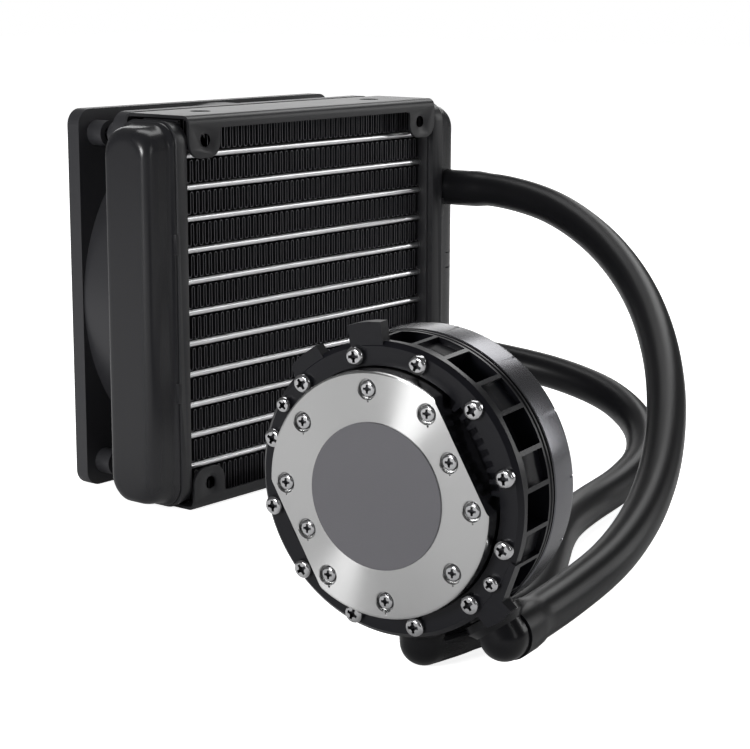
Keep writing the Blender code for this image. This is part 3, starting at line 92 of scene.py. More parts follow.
def shift(x: float = 0.0, y: float = 0.0, z: float = 0.0) -> Matrix:
    """Returns a translation."""
    return Matrix.Translation((x, y, z))


def turn_z(degrees: float) -> Matrix:
    """Returns a turn about local Z."""
    return Matrix.Rotation(math.radians(degrees), 4, "Z")


def polar(radius: float, degrees: float) -> Point2:
    """Returns the point at this radius and angle."""
    angle = math.radians(degrees)
    return radius * math.cos(angle), radius * math.sin(angle)


def arc(centre: Point2, radius: float, start: float, end: float, steps: int) -> list[Point2]:
    """Lays points on an arc.

    Args:
        centre: Middle of the arc.
        radius: Its radius.
        start: First angle in degrees.
        end: Last angle in degrees.
        steps: Number of straight pieces.

    Returns:
        The points, both ends included.
    """
    angles = np.linspace(start, end, steps + 1)
    return [(centre[0] + polar(radius, a)[0], centre[1] + polar(radius, a)[1]) for a in angles]


def rounded_rectangle(width: float, height: float, radius: float, steps: int) -> list[Point2]:
    """Outlines a rectangle with round corners, centred on the origin.

    Args:
        width: Size along X.
        height: Size along Y.
        radius: Radius of the corners.
        steps: Straight pieces in each corner.

    Returns:
        The closed outline.
    """
    x, y = width / 2 - radius, height / 2 - radius
    corners = ((x, y, 0), (-x, y, 90), (-x, -y, 180), (x, -y, 270))
    return [p for cx, cy, a in corners for p in arc((cx, cy), radius, a, a + 90, steps)]


def join_shapes(shapes: Sequence[Shape]) -> Shape:
    """Gathers several shapes in one.

    Args:
        shapes: The shapes, which are used up.

    Returns:
        One shape that holds them all.
    """
    whole = bmesh.new()
    for shape in shapes:
        mesh = bpy.data.meshes.new("shape")
        shape.to_mesh(mesh)
        shape.free()
        whole.from_mesh(mesh)
        bpy.data.meshes.remove(mesh)
    return whole


def prism(outline: Sequence[Point2], depth: float, placed: Matrix | None = None) -> Shape:
    """Extrudes a closed outline.

    Args:
        outline: Points in local X and Y.
        depth: Length along local Z, from zero.
        placed: Where the prism goes.

    Returns:
        A closed shape.
    """
    shape = bmesh.new()
    verts = [shape.verts.new((x, y, 0)) for x, y in outline]
    face = shape.faces.new(verts)
    raised = bmesh.ops.extrude_face_region(shape, geom=[face])
    top = [v for v in raised["geom"] if isinstance(v, bmesh.types.BMVert)]
    bmesh.ops.translate(shape, verts=top, vec=(0, 0, depth))
    bmesh.ops.recalc_face_normals(shape, faces=shape.faces)
    if placed is not None:
        shape.transform(placed)
        bmesh.ops.recalc_face_normals(shape, faces=shape.faces)
    return shape


def turned(
    profile: Sequence[Point2], steps: int, placed: Matrix | None = None, closed: bool = False
) -> Shape:
    """Turns a profile round local Z.

    Args:
        profile: Points as radius and height.
        steps: Segments in a full turn.
        placed: Where the shape goes.
        closed: True for a ring section that doesn't reach the axis.

    Returns:
        A closed shape.
    """
    shape = bmesh.new()
    verts = [shape.verts.new((radius, 0, z)) for radius, z in profile]
    edges = [shape.edges.new(pair) for pair in zip(verts, verts[1:])]
    if closed:
        edges.append(shape.edges.new((verts[-1], verts[0])))
    bmesh.ops.spin(
        shape, geom=verts + edges, axis=(0, 0, 1), cent=(0, 0, 0), dvec=(0, 0, 0),
        angle=2 * math.pi, steps=steps, use_merge=True, use_duplicate=False,
    )
    bmesh.ops.remove_doubles(shape, verts=shape.verts, dist=WELD)
    bmesh.ops.dissolve_degenerate(shape, dist=WELD, edges=shape.edges)
    if placed is not None:
        shape.transform(placed)
    bmesh.ops.recalc_face_normals(shape, faces=shape.faces)
    return shape


def block(low: Point3, high: Point3, placed: Matrix | None = None) -> Shape:
    """Makes a box between two corners.

    Args:
        low: The corner with the lowest values.
        high: The corner with the highest values.
        placed: Where the box goes.

    Returns:
        A closed shape.
    """
    shape = bmesh.new()
    start, end = Vector(low), Vector(high)
    size = Matrix.Diagonal((*(end - start), 1))
    bmesh.ops.create_cube(shape, size=1, matrix=Matrix.Translation((start + end) / 2) @ size)
    if placed is not None:
        shape.transform(placed)
    return shape


def rod(
    start: Point3, end: Point3, radius: float, sides: int, end_radius: float | None = None,
    placed: Matrix | None = None,
) -> Shape:
    """Makes a cylinder or a cone between two points.

    Args:
        start: Middle of the first end.
        end: Middle of the last end.
        radius: Radius at the start.
        sides: Number of sides.
        end_radius: Radius at the end, where it differs.
        placed: Where the rod goes.

    Returns:
        A closed shape.
    """
    shape = bmesh.new()
    first, last = Vector(start), Vector(end)
    turn = (last - first).to_track_quat("Z", "Y").to_matrix().to_4x4()
    bmesh.ops.create_cone(
        shape, cap_ends=True, segments=sides, radius1=radius,
        radius2=radius if end_radius is None else end_radius, depth=(last - first).length,
        matrix=Matrix.Translation((first + last) / 2) @ turn,
    )
    if placed is not None:
        shape.transform(placed)
    return shape


def upright(spot: Point2, start: float, end: float, radius: float, sides: int) -> Shape:
    """Returns a cylinder along local Z at a spot."""
    return rod((*spot, start), (*spot, end), radius, sides)


def repeated(make: Callable[[], Shape], degrees: Sequence[float]) -> Shape:
    """Repeats a shape round local Z.

    Args:
        make: Makes one copy.
        degrees: The angle of each copy.

    Returns:
        One shape with all copies.
    """
    shapes = []
    for angle in degrees:
        shape = make()
        shape.transform(turn_z(angle))
        shapes.append(shape)
    return join_shapes(shapes)


def radial_block(outline: Sequence[Point2], half_width: float) -> Shape:
    """Returns a block across the X axis from an outline in radius and height."""
    return prism(outline, 2 * half_width, shift(y=half_width) @ FRONT_VIEW)


def lofted(levels: Sequence[Pair], outline: Callable[[float], list[Point2]]) -> Shape:
    """Makes a closed dome through outlines at rising heights.

    Args:
        levels: Pairs of inset and height.
        outline: Returns the outline at an inset, always with as many points.

    Returns:
        A closed shape.
    """
    shape = bmesh.new()
    loops = []
    for inset, height in levels:
        verts = [shape.verts.new((x, y, height)) for x, y in outline(inset)]
        loops.append([shape.edges.new(pair) for pair in zip(verts, verts[1:] + verts[:1])])
    for first, second in zip(loops, loops[1:]):
        bmesh.ops.bridge_loops(shape, edges=first + second)
    bmesh.ops.holes_fill(shape, edges=loops[0] + loops[-1], sides=0)
    bmesh.ops.recalc_face_normals(shape, faces=shape.faces)
    return shape


def as_object(name: str, shape: Shape) -> bpy.types.Object:
    """Turns a shape into an object of the scene.

    Args:
        name: The object's name.
        shape: The shape, which is used up.

    Returns:
        The object.
    """
    mesh = bpy.data.meshes.new(name)
    shape.to_mesh(mesh)
    shape.free()
    obj = bpy.data.objects.new(name, mesh)
    bpy.context.scene.collection.objects.link(obj)
    return obj


def carve(body: Shape, steps: Sequence[tuple[Carving, Shape]]) -> Shape:
    """Cuts and joins shapes, in order.

    Args:
        body: The shape that is worked on.
        steps: Pairs of what is done and the shape that does it.

    Returns:
        The finished shape. The others are used up.
    """
    work = as_object("carved", body)
    others = []
    for carving, shape in steps:
        other = as_object("carving", shape)
        modifier = work.modifiers.new("carving", "BOOLEAN")
        modifier.operation = carving.value
        modifier.solver = "EXACT"
        modifier.object = other
        others.append(other)
    graph = bpy.context.evaluated_depsgraph_get()
    mesh = bpy.data.meshes.new_from_object(work.evaluated_get(graph))
    result = bmesh.new()
    result.from_mesh(mesh)
    bmesh.ops.remove_doubles(result, verts=result.verts, dist=WELD)
    for obj in (work, *others):
        used = obj.data
        bpy.data.objects.remove(obj, do_unlink=True)
        bpy.data.meshes.remove(used)
    bpy.data.meshes.remove(mesh)
    return result


# Finishes


def feed(tree: bpy.types.NodeTree, node: bpy.types.Node, inputs: NodeInputs) -> None:
    """Links or sets inputs of a node.

    Args:
        tree: The tree that holds the node.
        node: The node.
        inputs: The output to link, or the constant, for each input's name or number.
    """
    for key, value in inputs.items():
        if isinstance(value, bpy.types.NodeSocket):
            tree.links.new(value, node.inputs[key])
        else:
            node.inputs[key].default_value = value


def add_node(
    tree: bpy.types.NodeTree, kind: str, inputs: NodeInputs, operation: str | None = None
) -> bpy.types.Node:
    """Adds a shader node and feeds it.

    Args:
        tree: The tree that gets the node.
        kind: The node's type, after the words ShaderNode.
        inputs: What its inputs are fed, as for feed().
        operation: What a math node does.

    Returns:
        The node.
    """
    node = tree.nodes.new("ShaderNode" + kind)
    if operation is not None:
        node.operation = operation
    feed(tree, node, inputs)
    return node


@dataclass(frozen=True)
class Finish:
    """One surface finish: its colour, gloss, fine grain and uneven sheen."""

    name: str
    colour: tuple[float, float, float]
    roughness: float
    metallic: float = 0.0
    grain: float = 0.0
    grain_scale: float = 3000.0
    grain_depth: float = 0.05 * MM
    spread: float = 0.05
    tint: float = 0.08
    specular: float = 0.5

    def material(self) -> bpy.types.Material:
        """Makes this finish a material, once.

        Returns:
            The material.
        """
        name = "finish_" + self.name
        material = bpy.data.materials.get(name)
        if material is None:
            material = bpy.data.materials.new(name)
            material.use_nodes = True
            self.wire(material.node_tree)
        return material

    def wire(self, tree: bpy.types.NodeTree) -> None:
        """Wires the colour, gloss and grain to the shader.

        Args:
            tree: The material's node tree.
        """
        sheen = tree.nodes.new("ShaderNodeGroup")
        sheen.node_tree = uneven_surface_group()
        feed(tree, sheen, {
            "Place": add_node(tree, "TexCoord", {}).outputs["Object"],
            "Colour": (*self.colour, 1.0),
            "Roughness": self.roughness,
            "Spread": self.spread,
            "Tint": self.tint,
            "Grain Scale": self.grain_scale,
        })
        shader = tree.nodes["Principled BSDF"]
        feed(tree, shader, {
            "Base Color": sheen.outputs["Colour"],
            "Roughness": sheen.outputs["Roughness"],
            "Metallic": self.metallic,
            "Specular IOR Level": self.specular,
        })
        if self.grain:
            height = sheen.outputs["Height"]
            self.add_bump(tree, height, self.grain, self.grain_depth)

    def add_bump(
        self, tree: bpy.types.NodeTree, height: bpy.types.NodeSocket, strength: float, depth: float
    ) -> None:
        """Wires a height to the shader's normal.

        Args:
            tree: The material's node tree.
            height: The output that gives the height.
            strength: How much the relief shows.
            depth: Depth of the relief.
        """
        inputs = {"Strength": strength, "Distance": depth, "Height": height}
        bump = add_node(tree, "Bump", inputs)
        feed(tree, tree.nodes["Principled BSDF"], {"Normal": bump.outputs["Normal"]})


@dataclass(frozen=True)
class TurnedFinish(Finish):
    """A face turned on a lathe: fine rings round an axis, with stretched highlights."""

    centre: Point3 = (0.0, 0.0, 0.0)
    axis: Point3 = (0.0, 0.0, 1.0)
    stretch: float = 0.95
    rings: float = 9000.0
    ring_strength: float = 0.25
    ring_depth: float = 0.01 * MM

    def wire(self, tree: bpy.types.NodeTree) -> None:
        """Wires the finish, then the rings and the direction of the highlights.

        Args:
            tree: The material's node tree.
        """
        super().wire(tree)
        place = add_node(tree, "TexCoord", {}).outputs["Object"]
        offset = add_node(tree, "VectorMath", {0: place, 1: self.centre}, "SUBTRACT")
        arm = {0: offset.outputs["Vector"], 1: self.axis}
        across = add_node(tree, "VectorMath", arm, "CROSS_PRODUCT").outputs["Vector"]
        outwards = add_node(tree, "VectorMath", {0: self.axis, 1: across}, "CROSS_PRODUCT")
        tangent = add_node(tree, "VectorMath", {0: outwards.outputs["Vector"]}, "NORMALIZE")
        reach = add_node(tree, "VectorMath", {0: across}, "LENGTH").outputs["Value"]
        count = add_node(tree, "Math", {0: reach, 1: self.rings}, "MULTIPLY").outputs["Value"]
        ring = tree.nodes.new("ShaderNodeTexNoise")
        ring.noise_dimensions = "1D"
        feed(tree, ring, {"W": count, "Scale": 1.0, "Detail": 2.0})
        shader = tree.nodes["Principled BSDF"]
        feed(tree, shader, {"Anisotropic": self.stretch, "Tangent": tangent.outputs["Vector"]})
        self.add_bump(tree, ring.outputs["Fac"], self.ring_strength, self.ring_depth)


def uneven_surface_group() -> bpy.types.NodeTree:
    """Builds, once, the group that varies colour, roughness and grain over a surface.

    Returns:
        The group.
    """
    name = "uneven_surface"
    known = bpy.data.node_groups.get(name)
    if known is not None:
        return known
    tree = bpy.data.node_groups.new(name, "ShaderNodeTree")
    sockets = (
        ("INPUT", "Vector", ("Place",)),
        ("INPUT", "Color", ("Colour",)),
        ("INPUT", "Float", ("Roughness", "Spread", "Tint", "Grain Scale")),
        ("OUTPUT", "Color", ("Colour",)),
        ("OUTPUT", "Float", ("Roughness", "Height")),
    )
    for side, kind, titles in sockets:
        for title in titles:
            tree.interface.new_socket(title, in_out=side, socket_type="NodeSocket" + kind)
    given = tree.nodes.new("NodeGroupInput").outputs
    cloud_inputs = {"Vector": given["Place"], "Scale": 60.0, "Detail": 3.0}
    cloudy = add_node(tree, "TexNoise", cloud_inputs).outputs["Fac"]
    fine_inputs = {"Vector": given["Place"], "Scale": given["Grain Scale"], "Detail": 2.0}
    fine = add_node(tree, "TexNoise", fine_inputs).outputs["Fac"]
    centred = add_node(tree, "Math", {0: cloudy, 1: 0.5}, "SUBTRACT").outputs["Value"]
    rough_inputs = {0: centred, 1: given["Spread"], 2: given["Roughness"]}
    rough = add_node(tree, "Math", rough_inputs, "MULTIPLY_ADD").outputs["Value"]
    shade_inputs = {0: centred, 1: given["Tint"], 2: 1.0}
    shade = add_node(tree, "Math", shade_inputs, "MULTIPLY_ADD").outputs["Value"]
    tinted = add_node(tree, "VectorMath", {0: given["Colour"], "Scale": shade}, "SCALE")
    result = tree.nodes.new("NodeGroupOutput")
    colour = tinted.outputs["Vector"]
    feed(tree, result, {"Colour": colour, "Roughness": rough, "Height": fine})
    return tree


# The pump head's own frame: local Z out of the cold plate, local X up

HEAD_YAW = math.radians(6.49)
HEAD_TILT = math.radians(1.7)
HEAD_MIDDLE_MM: Point3 = (-139.4, -150.65, 45.06)


def head_matrix() -> Matrix:
    """Works out the pump head's frame, at the middle of its ring's front face.

    Returns:
        The frame in the solids' frame.
    """
    level = math.cos(HEAD_TILT)
    out = Vector(
        (-level * math.cos(HEAD_YAW), -level * math.sin(HEAD_YAW), -math.sin(HEAD_TILT))
    )
    up = (Vector((0, 0, 1)) - out * out.z).normalized()
    turn = Matrix((up, out.cross(up), out)).transposed().to_4x4()
    return Matrix.Translation(Vector(HEAD_MIDDLE_MM) * MM) @ turn


HEAD = head_matrix()


# The cooler's own finishes

BLACK_PAINT = Finish("black_paint", (0.015, 0.015, 0.017), 0.36, grain=0.15, specular=0.35)
BARE_TUBE = Finish("bare_tube", (0.74, 0.74, 0.75), 0.34, 1.0, grain=0.5, grain_scale=1500.0)
FIN_BLACK = Finish("fin_black", (0.016, 0.016, 0.018), 0.42, specular=0.3)
# Lighter grey for the fins' front-facing faces: a painted highlight on their edges.
FIN_EDGE_HIGHLIGHT = Finish("fin_edge_highlight", (0.13, 0.13, 0.14), 0.4, 0.3)
TANK_BLACK = Finish("tank_black", (0.012, 0.012, 0.014), 0.25, grain=0.08, specular=0.4)
FAN_PLASTIC = Finish("fan_plastic", (0.025, 0.025, 0.028), 0.42, grain=0.25, specular=0.45)
RING_PLASTIC = Finish("ring_plastic", (0.005, 0.005, 0.007), 0.30, grain=0.15, specular=0.22)
ELBOW_PLASTIC = Finish("elbow_plastic", (0.005, 0.005, 0.006), 0.26, grain=0.1, specular=0.2)
TURNED_METAL = TurnedFinish(
    "turned_metal", (0.50, 0.50, 0.50), 0.25, 1.0, spread=0.02, tint=0.02,
    centre=tuple(HEAD.translation), axis=tuple(HEAD.col[2].to_3d()),
)
PASTE_GREY = Finish(
    "paste_grey", (0.110, 0.108, 0.117), 0.75, grain=0.6, grain_scale=2200.0, specular=0.2
)
GUNMETAL = Finish("gunmetal", (0.12, 0.12, 0.13), 0.24, 0.9, grain=0.1)
CHROME = Finish("chrome", (0.46, 0.46, 0.47), 0.18, 1.0)
# Dark steel for the fan screws; on the chrome screws it paints shade into the cross recesses.
DARK_STEEL_AND_RECESS_SHADE = Finish("dark_steel", (0.05, 0.05, 0.055), 0.3, 0.9)
HOSE_RUBBER = Finish(
    "hose_rubber", (0.006, 0.006, 0.007), 0.34, grain=0.2, grain_scale=1600.0, specular=0.18
)
SEAL_RUBBER = Finish("seal_rubber", (0.012, 0.012, 0.012), 0.7)
STEEL = Finish("steel", (0.55, 0.55, 0.56), 0.28, 1.0)
BRONZE = Finish("bronze", (0.50, 0.33, 0.16), 0.4, 1.0)
COPPER = Finish("copper", (0.72, 0.36, 0.20), 0.35, 1.0)
MAGNET_GREY = Finish("magnet_grey", (0.06, 0.06, 0.065), 0.6, 0.3)
BOARD_GREEN = Finish("board_green", (0.02, 0.10, 0.05), 0.5)
WHITE_PLASTIC = Finish("white_plastic", (0.55, 0.55, 0.53), 0.5)

NODE_FINISHES = {
    "fan_bearing": BRONZE,
    "fan_circuit_board": BOARD_GREEN,
    "fan_magnet_ring": MAGNET_GREY,
    "fan_shaft": STEEL,
    "fan_stator": COPPER,
    "flow_plate": WHITE_PLASTIC,
    "impeller_shaft": STEEL,
    "pump_circuit_board": BOARD_GREEN,
    "pump_gasket": SEAL_RUBBER,
    "pump_impeller": WHITE_PLASTIC,
    "pump_stator": COPPER,
    "elbow_seal_left": SEAL_RUBBER,
    "elbow_seal_right": SEAL_RUBBER,
}


# Pieces


def finish_piece(
    name: str,
    shape: Shape,
    finishes: Sequence[Finish],
    nodes: Sequence[str],
    body: Body | None = Body.COOLER,
    rounding: float = 0.0,
    crease: float = 35.0,
) -> bpy.types.Object:
    """Makes a shape a piece of the object.

    Args:
        name: The piece's name.
        shape: Its shape, in place.
        finishes: One finish for each material index of its faces.
        nodes: The solids that it stands for.
        body: The body it rides on, or None if the caller sees to it.
        rounding: Width of a live bevel on sharp edges.
        crease: Edges sharper than this angle stay sharp, or are bevelled.

    Returns:
        The piece.
    """
    limit = math.radians(crease)
    for face in shape.faces:
        face.smooth = True
    if not rounding:
        for edge in shape.edges:
            edge.smooth = len(edge.link_faces) == 2 and edge.calc_face_angle(0.0) < limit
    piece = as_object(name, shape)
    for finish in finishes:
        piece.data.materials.append(finish.material())
    if rounding:
        bevel = piece.modifiers.new("rounding", "BEVEL")
        bevel.width = rounding
        bevel.segments = 2
        bevel.limit_method = "ANGLE"
        bevel.angle_limit = limit
        bevel.harden_normals = True
    if body is not None:
        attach(piece, body.value)
    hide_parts(*nodes)
    LOG.info("%s: %d faces", name, len(piece.data.polygons))
    return piece


# Radiator


@dataclass
class RadiatorPart:
    """The sizes that the radiator's pieces share."""

    width: float = 120 * MM
    height: float = 120 * MM
    depth: float = 27 * MM
    gap: float = 0.3 * MM
    core_front: float = -8 * MM
    core_depth: float = 15.5 * MM
    tube_count: int = 11
    tube_pitch: float = 9.55 * MM
    tube_thickness: float = 2 * MM
    pan_depth: float = 22.4 * MM
    pan_height: float = 116 * MM
    pan_setback: float = 0.8 * MM
    pan_wall: float = 1.0 * MM
    pan_base: float = 1.2 * MM
    plate_thickness: float = 1.0 * MM
    screw_spacing: float = 105 * MM

    @property
    def pan_start(self) -> float:
        """Where each header pan starts, along X."""
        return self.width / 2 + self.gap

    @property
    def tank_middle(self) -> float:
        """The pans' and tanks' middle, along Y."""
        return -self.depth / 2 + self.pan_setback + self.pan_depth / 2

    def tube_heights(self) -> list[float]:
        """Returns the height of each tube's middle."""
        first = self.height / 2 - self.tube_pitch * (self.tube_count - 1) / 2
        return [first + self.tube_pitch * i for i in range(self.tube_count)]

    def end_frame(self, turned_round: bool) -> Matrix:
        """Returns an end's frame: local Z points out of it."""
        turn = turn_z(180 if turned_round else 0)
        return shift(y=self.tank_middle, z=self.height / 2) @ turn @ SIDE_VIEW


@dataclass
class TubeCore(RadiatorPart):
    """The flat tubes, brazed into two header pans."""

    pan_corner: float = 6 * MM
    pan_length: float = 4.7 * MM
    pan_flare: float = 0.6 * MM
    pan_flare_start: Pair = (0.2, 1.6 * MM)
    pan_edge: float = 0.3 * MM
    pan_step_inset: float = 1.8 * MM
    pan_step_depth: float = 1.6 * MM
    pan_step_reach: float = 1 * MM
    tab_rise: float = 22.5 * MM
    tab_half_width: float = 3 * MM
    tab_thickness: float = 2 * MM
    tab_root: float = 0.5 * MM
    tab_height: float = 1 * MM

    def build(self) -> None:
        """Builds the tubes with their bare front edges, and the two pans."""
        radius = self.tube_thickness / 2
        front, rear = self.core_front + radius, self.core_front + self.core_depth - radius
        length = 2 * (self.pan_start + self.pan_base / 2)
        place = shift(x=-length / 2) @ SIDE_VIEW
        tubes = []
        for height in self.tube_heights():
            outline = arc((front, height), radius, 90, 270, 10)
            outline += arc((rear, height), radius, -90, 90, 10)
            tubes.append(prism(outline, length, place))
        core = join_shapes(tubes)
        for face in core.faces:
            face.material_index = int(face.calc_center_median().y > front)
        shape = join_shapes([core, self.pan_shape(True), self.pan_shape(False)])
        finish_piece(
            "tube_core_fine", shape, (BARE_TUBE, BLACK_PAINT), ("tube_core",),
            crease=40,
        )

    def pan_outline(self, inset: float) -> list[Point2]:
        """Returns a pan's outline, inset by this much."""
        depth, height = self.pan_depth - 2 * inset, self.pan_height - 2 * inset
        return rounded_rectangle(depth, height, self.pan_corner - inset, 8)

    def pan_shape(self, turned_round: bool) -> Shape:
        """Makes one header pan with its inner step, hollow and bent tabs.

        Args:
            turned_round: True for the left pan.

        Returns:
            The pan in place, its faces painted.
        """
        start, wall, flare = self.pan_start, self.pan_wall, self.pan_flare
        rim, base = start + self.pan_length, start + self.pan_base
        step_outline = self.pan_outline(self.pan_step_inset)
        step = prism(step_outline, self.pan_step_depth, shift(z=start - self.pan_step_reach))
        share, flare_start = self.pan_flare_start
        levels = ((0, start), (-share * flare, start + flare_start), (-flare, rim))
        pan = lofted(levels, self.pan_outline)
        hollow = lofted(((wall, base), (wall - flare, rim + BEYOND)), self.pan_outline)
        steps = [(Carving.ADD, pan), (Carving.CUT, hollow), (Carving.ADD, self.pan_tabs(rim))]
        shape = carve(step, steps)
        sharp = [e for e in shape.edges if e.calc_face_angle(0.0) > math.radians(50)]
        bmesh.ops.bevel(
            shape, geom=sharp, offset=self.pan_edge, segments=2, profile=0.5, affect="EDGES",
            material=-1, clamp_overlap=True,
        )
        for face in shape.faces:
            face.material_index = 1
        shape.transform(self.end_frame(turned_round))
        return shape

    def pan_tabs(self, rim: float) -> Shape:
        """Makes the tabs that are bent over the tank's foot.

        Args:
            rim: Height of the pan's rim.

        Returns:
            All four tabs.
        """
        outer = self.pan_depth / 2 + self.pan_flare
        tabs = []
        for across in (-1, 1):
            left, right = sorted((across * outer, across * (outer - self.tab_thickness)))
            for rise in (-self.tab_rise, self.tab_rise):
                low = (left, rise - self.tab_half_width, rim - self.tab_root)
                high = (right, rise + self.tab_half_width, rim + self.tab_height)
                tabs.append(block(low, high))
        return join_shapes(tabs)


@dataclass
class FinRows(RadiatorPart):
    """The folded strips between the tubes."""

    fin_periods: int = 46
    fin_thickness: float = 0.18 * MM
    fin_setback: float = 0.6 * MM
    fin_end_gap: float = 1.3 * MM
    # Faces whose normal points further to the front than this get the painted highlight.
    fin_highlight_slope: float = -0.9

    def build(self) -> None:
        """Builds the folded strips between the tubes."""
        half = self.tube_thickness / 2
        edges = [self.plate_thickness]
        for height in self.tube_heights():
            edges += [height - half, height + half]
        edges.append(self.height - self.plate_thickness)
        for row in range(self.tube_count + 1):
            shape = self.folded_strip(edges[2 * row] + self.gap, edges[2 * row + 1] - self.gap)
            # Faces that look to the front take the lighter grey, a painted highlight on the fin
            # edges.
            for face in shape.faces:
                face.material_index = int(face.normal.y < self.fin_highlight_slope)
            name = f"fin_row_{row + 1:02d}"
            finish_piece(
                name + "_fine", shape, (FIN_BLACK, FIN_EDGE_HIGHLIGHT), (name,), crease=50
            )

    def folded_strip(self, low: float, high: float) -> Shape:
        """Makes a thin strip folded up and down.

        Args:
            low: Height of its lowest point.
            high: Height of its highest point.

        Returns:
            The strip, with its thickness.
        """
        half = self.width / 2 - self.fin_end_gap
        pitch = 2 * half / self.fin_periods
        inset, radius = self.fin_thickness / 2, pitch / 4
        points: list[Point2] = []
        for period in range(self.fin_periods):
            x = -half + period * pitch
            points += arc((x + radius, high - inset - radius), radius, 180, 0, 4)
            points += arc((x + 3 * radius, low + inset + radius), radius, 180, 360, 4)
        shape = bmesh.new()
        front = self.core_front + self.fin_setback
        verts = [shape.verts.new((x, front, z)) for x, z in points]
        edges = [shape.edges.new(pair) for pair in zip(verts, verts[1:])]
        swept = bmesh.ops.extrude_edge_only(shape, edges=edges)
        far = [v for v in swept["geom"] if isinstance(v, bmesh.types.BMVert)]
        depth = self.core_depth - 2 * self.fin_setback
        bmesh.ops.translate(shape, verts=far, vec=(0, depth, 0))
        bmesh.ops.recalc_face_normals(shape, faces=shape.faces)
        bmesh.ops.solidify(shape, geom=shape.faces[:], thickness=self.fin_thickness)
        return shape


@dataclass
class SidePlate(RadiatorPart):
    """A folded steel channel with four screw ears."""

    name: str = "side_plate_top"
    upside_down: bool = False
    plate_bend: float = 2.5 * MM
    plate_rounding: float = 0.12 * MM
    lip_height: float = 4 * MM
    ear_width: float = 13.5 * MM
    ear_height: float = 12.8 * MM
    ear_corner: float = 4.8 * MM
    ear_fillet: float = 1.2 * MM
    ear_hole: float = 1.9 * MM
    dimple_depth: float = 0.6 * MM
    dimple_radii: Pair = (4.7 * MM, 2.0 * MM)
    web_hole: float = 3.25 * MM
    web_hole_place: float = 41 * MM

    def build(self) -> None:
        """Builds the plate, with its web outwards."""
        length, depth = self.width + 2 * BEYOND, self.depth + 2 * BEYOND
        plate = prism(self.plate_section(), length, shift(x=-length / 2) @ SIDE_VIEW)
        trim = prism(self.plate_front(), depth, shift(y=depth / 2) @ FRONT_VIEW)
        shape = carve(plate, [(Carving.KEEP, trim), *self.plate_holes()])
        if self.upside_down:
            shape.transform(Matrix.Rotation(math.pi, 4, "Y"))
        else:
            shape.transform(shift(z=self.height))
        finish_piece(
            self.name + "_fine", shape, (BLACK_PAINT,), (self.name,),
            rounding=self.plate_rounding,
        )

    def plate_section(self) -> list[Point2]:
        """Outlines a side plate's channel, seen along X.

        Returns:
            The closed outline, with the web's outer face at height zero.
        """
        half, thick, outer = self.depth / 2, self.plate_thickness, self.plate_bend
        inner, drop = outer - thick, self.ear_height + BEYOND
        front, rear = (outer - half, -outer), (half - outer, -outer)
        return [
            (half, -drop), *arc(rear, outer, 0, 90, 8), *arc(front, outer, 90, 180, 8),
            (-half, -drop), (thick - half, -drop), *arc(front, inner, 180, 90, 4),
            *arc(rear, inner, 90, 0, 4), (half - thick, -drop),
        ]

    def plate_front(self) -> list[Point2]:
        """Outlines a side plate's front: the lip between two round ears.

        Returns:
            The closed outline in X and height.
        """
        end, low = self.width / 2, -self.ear_height
        ear, radius, fillet = end - self.ear_width, self.ear_corner, self.ear_fillet
        half = [
            (end, BEYOND), *arc((end - radius, low + radius), radius, 0, -90, 10),
            *arc((ear + radius, low + radius), radius, -90, -180, 10),
            *arc((ear - fillet, -self.lip_height - fillet), fillet, 0, 90, 4),
        ]
        return half + [(-x, z) for x, z in reversed(half)]

    def plate_holes(self) -> list[tuple[Carving, Shape]]:
        """Makes the dimples and holes of the ears, and the two holes of the web.

        Returns:
            The steps that cut them.
        """
        holes, dimples = [], []
        face, through = self.depth / 2, self.depth + 2 * BEYOND
        level = (self.screw_spacing - self.height) / 2
        wide, narrow = self.dimple_radii
        for x in (-self.screw_spacing / 2, self.screw_spacing / 2):
            holes.append(rod((x, -through, level), (x, through, level), self.ear_hole, 32))
            for facing in (-1, 1):
                outside = (x, facing * (face + self.dimple_depth), level)
                inside = (x, facing * (face - self.dimple_depth), level)
                dimples.append(rod(outside, inside, wide, 32, narrow))
        for x in (-self.web_hole_place, self.web_hole_place):
            below = -self.plate_thickness - BEYOND
            holes.append(upright((x, 0), below, BEYOND, self.web_hole, 48))
        return [(Carving.CUT, join_shapes(dimples)), (Carving.CUT, join_shapes(holes))]


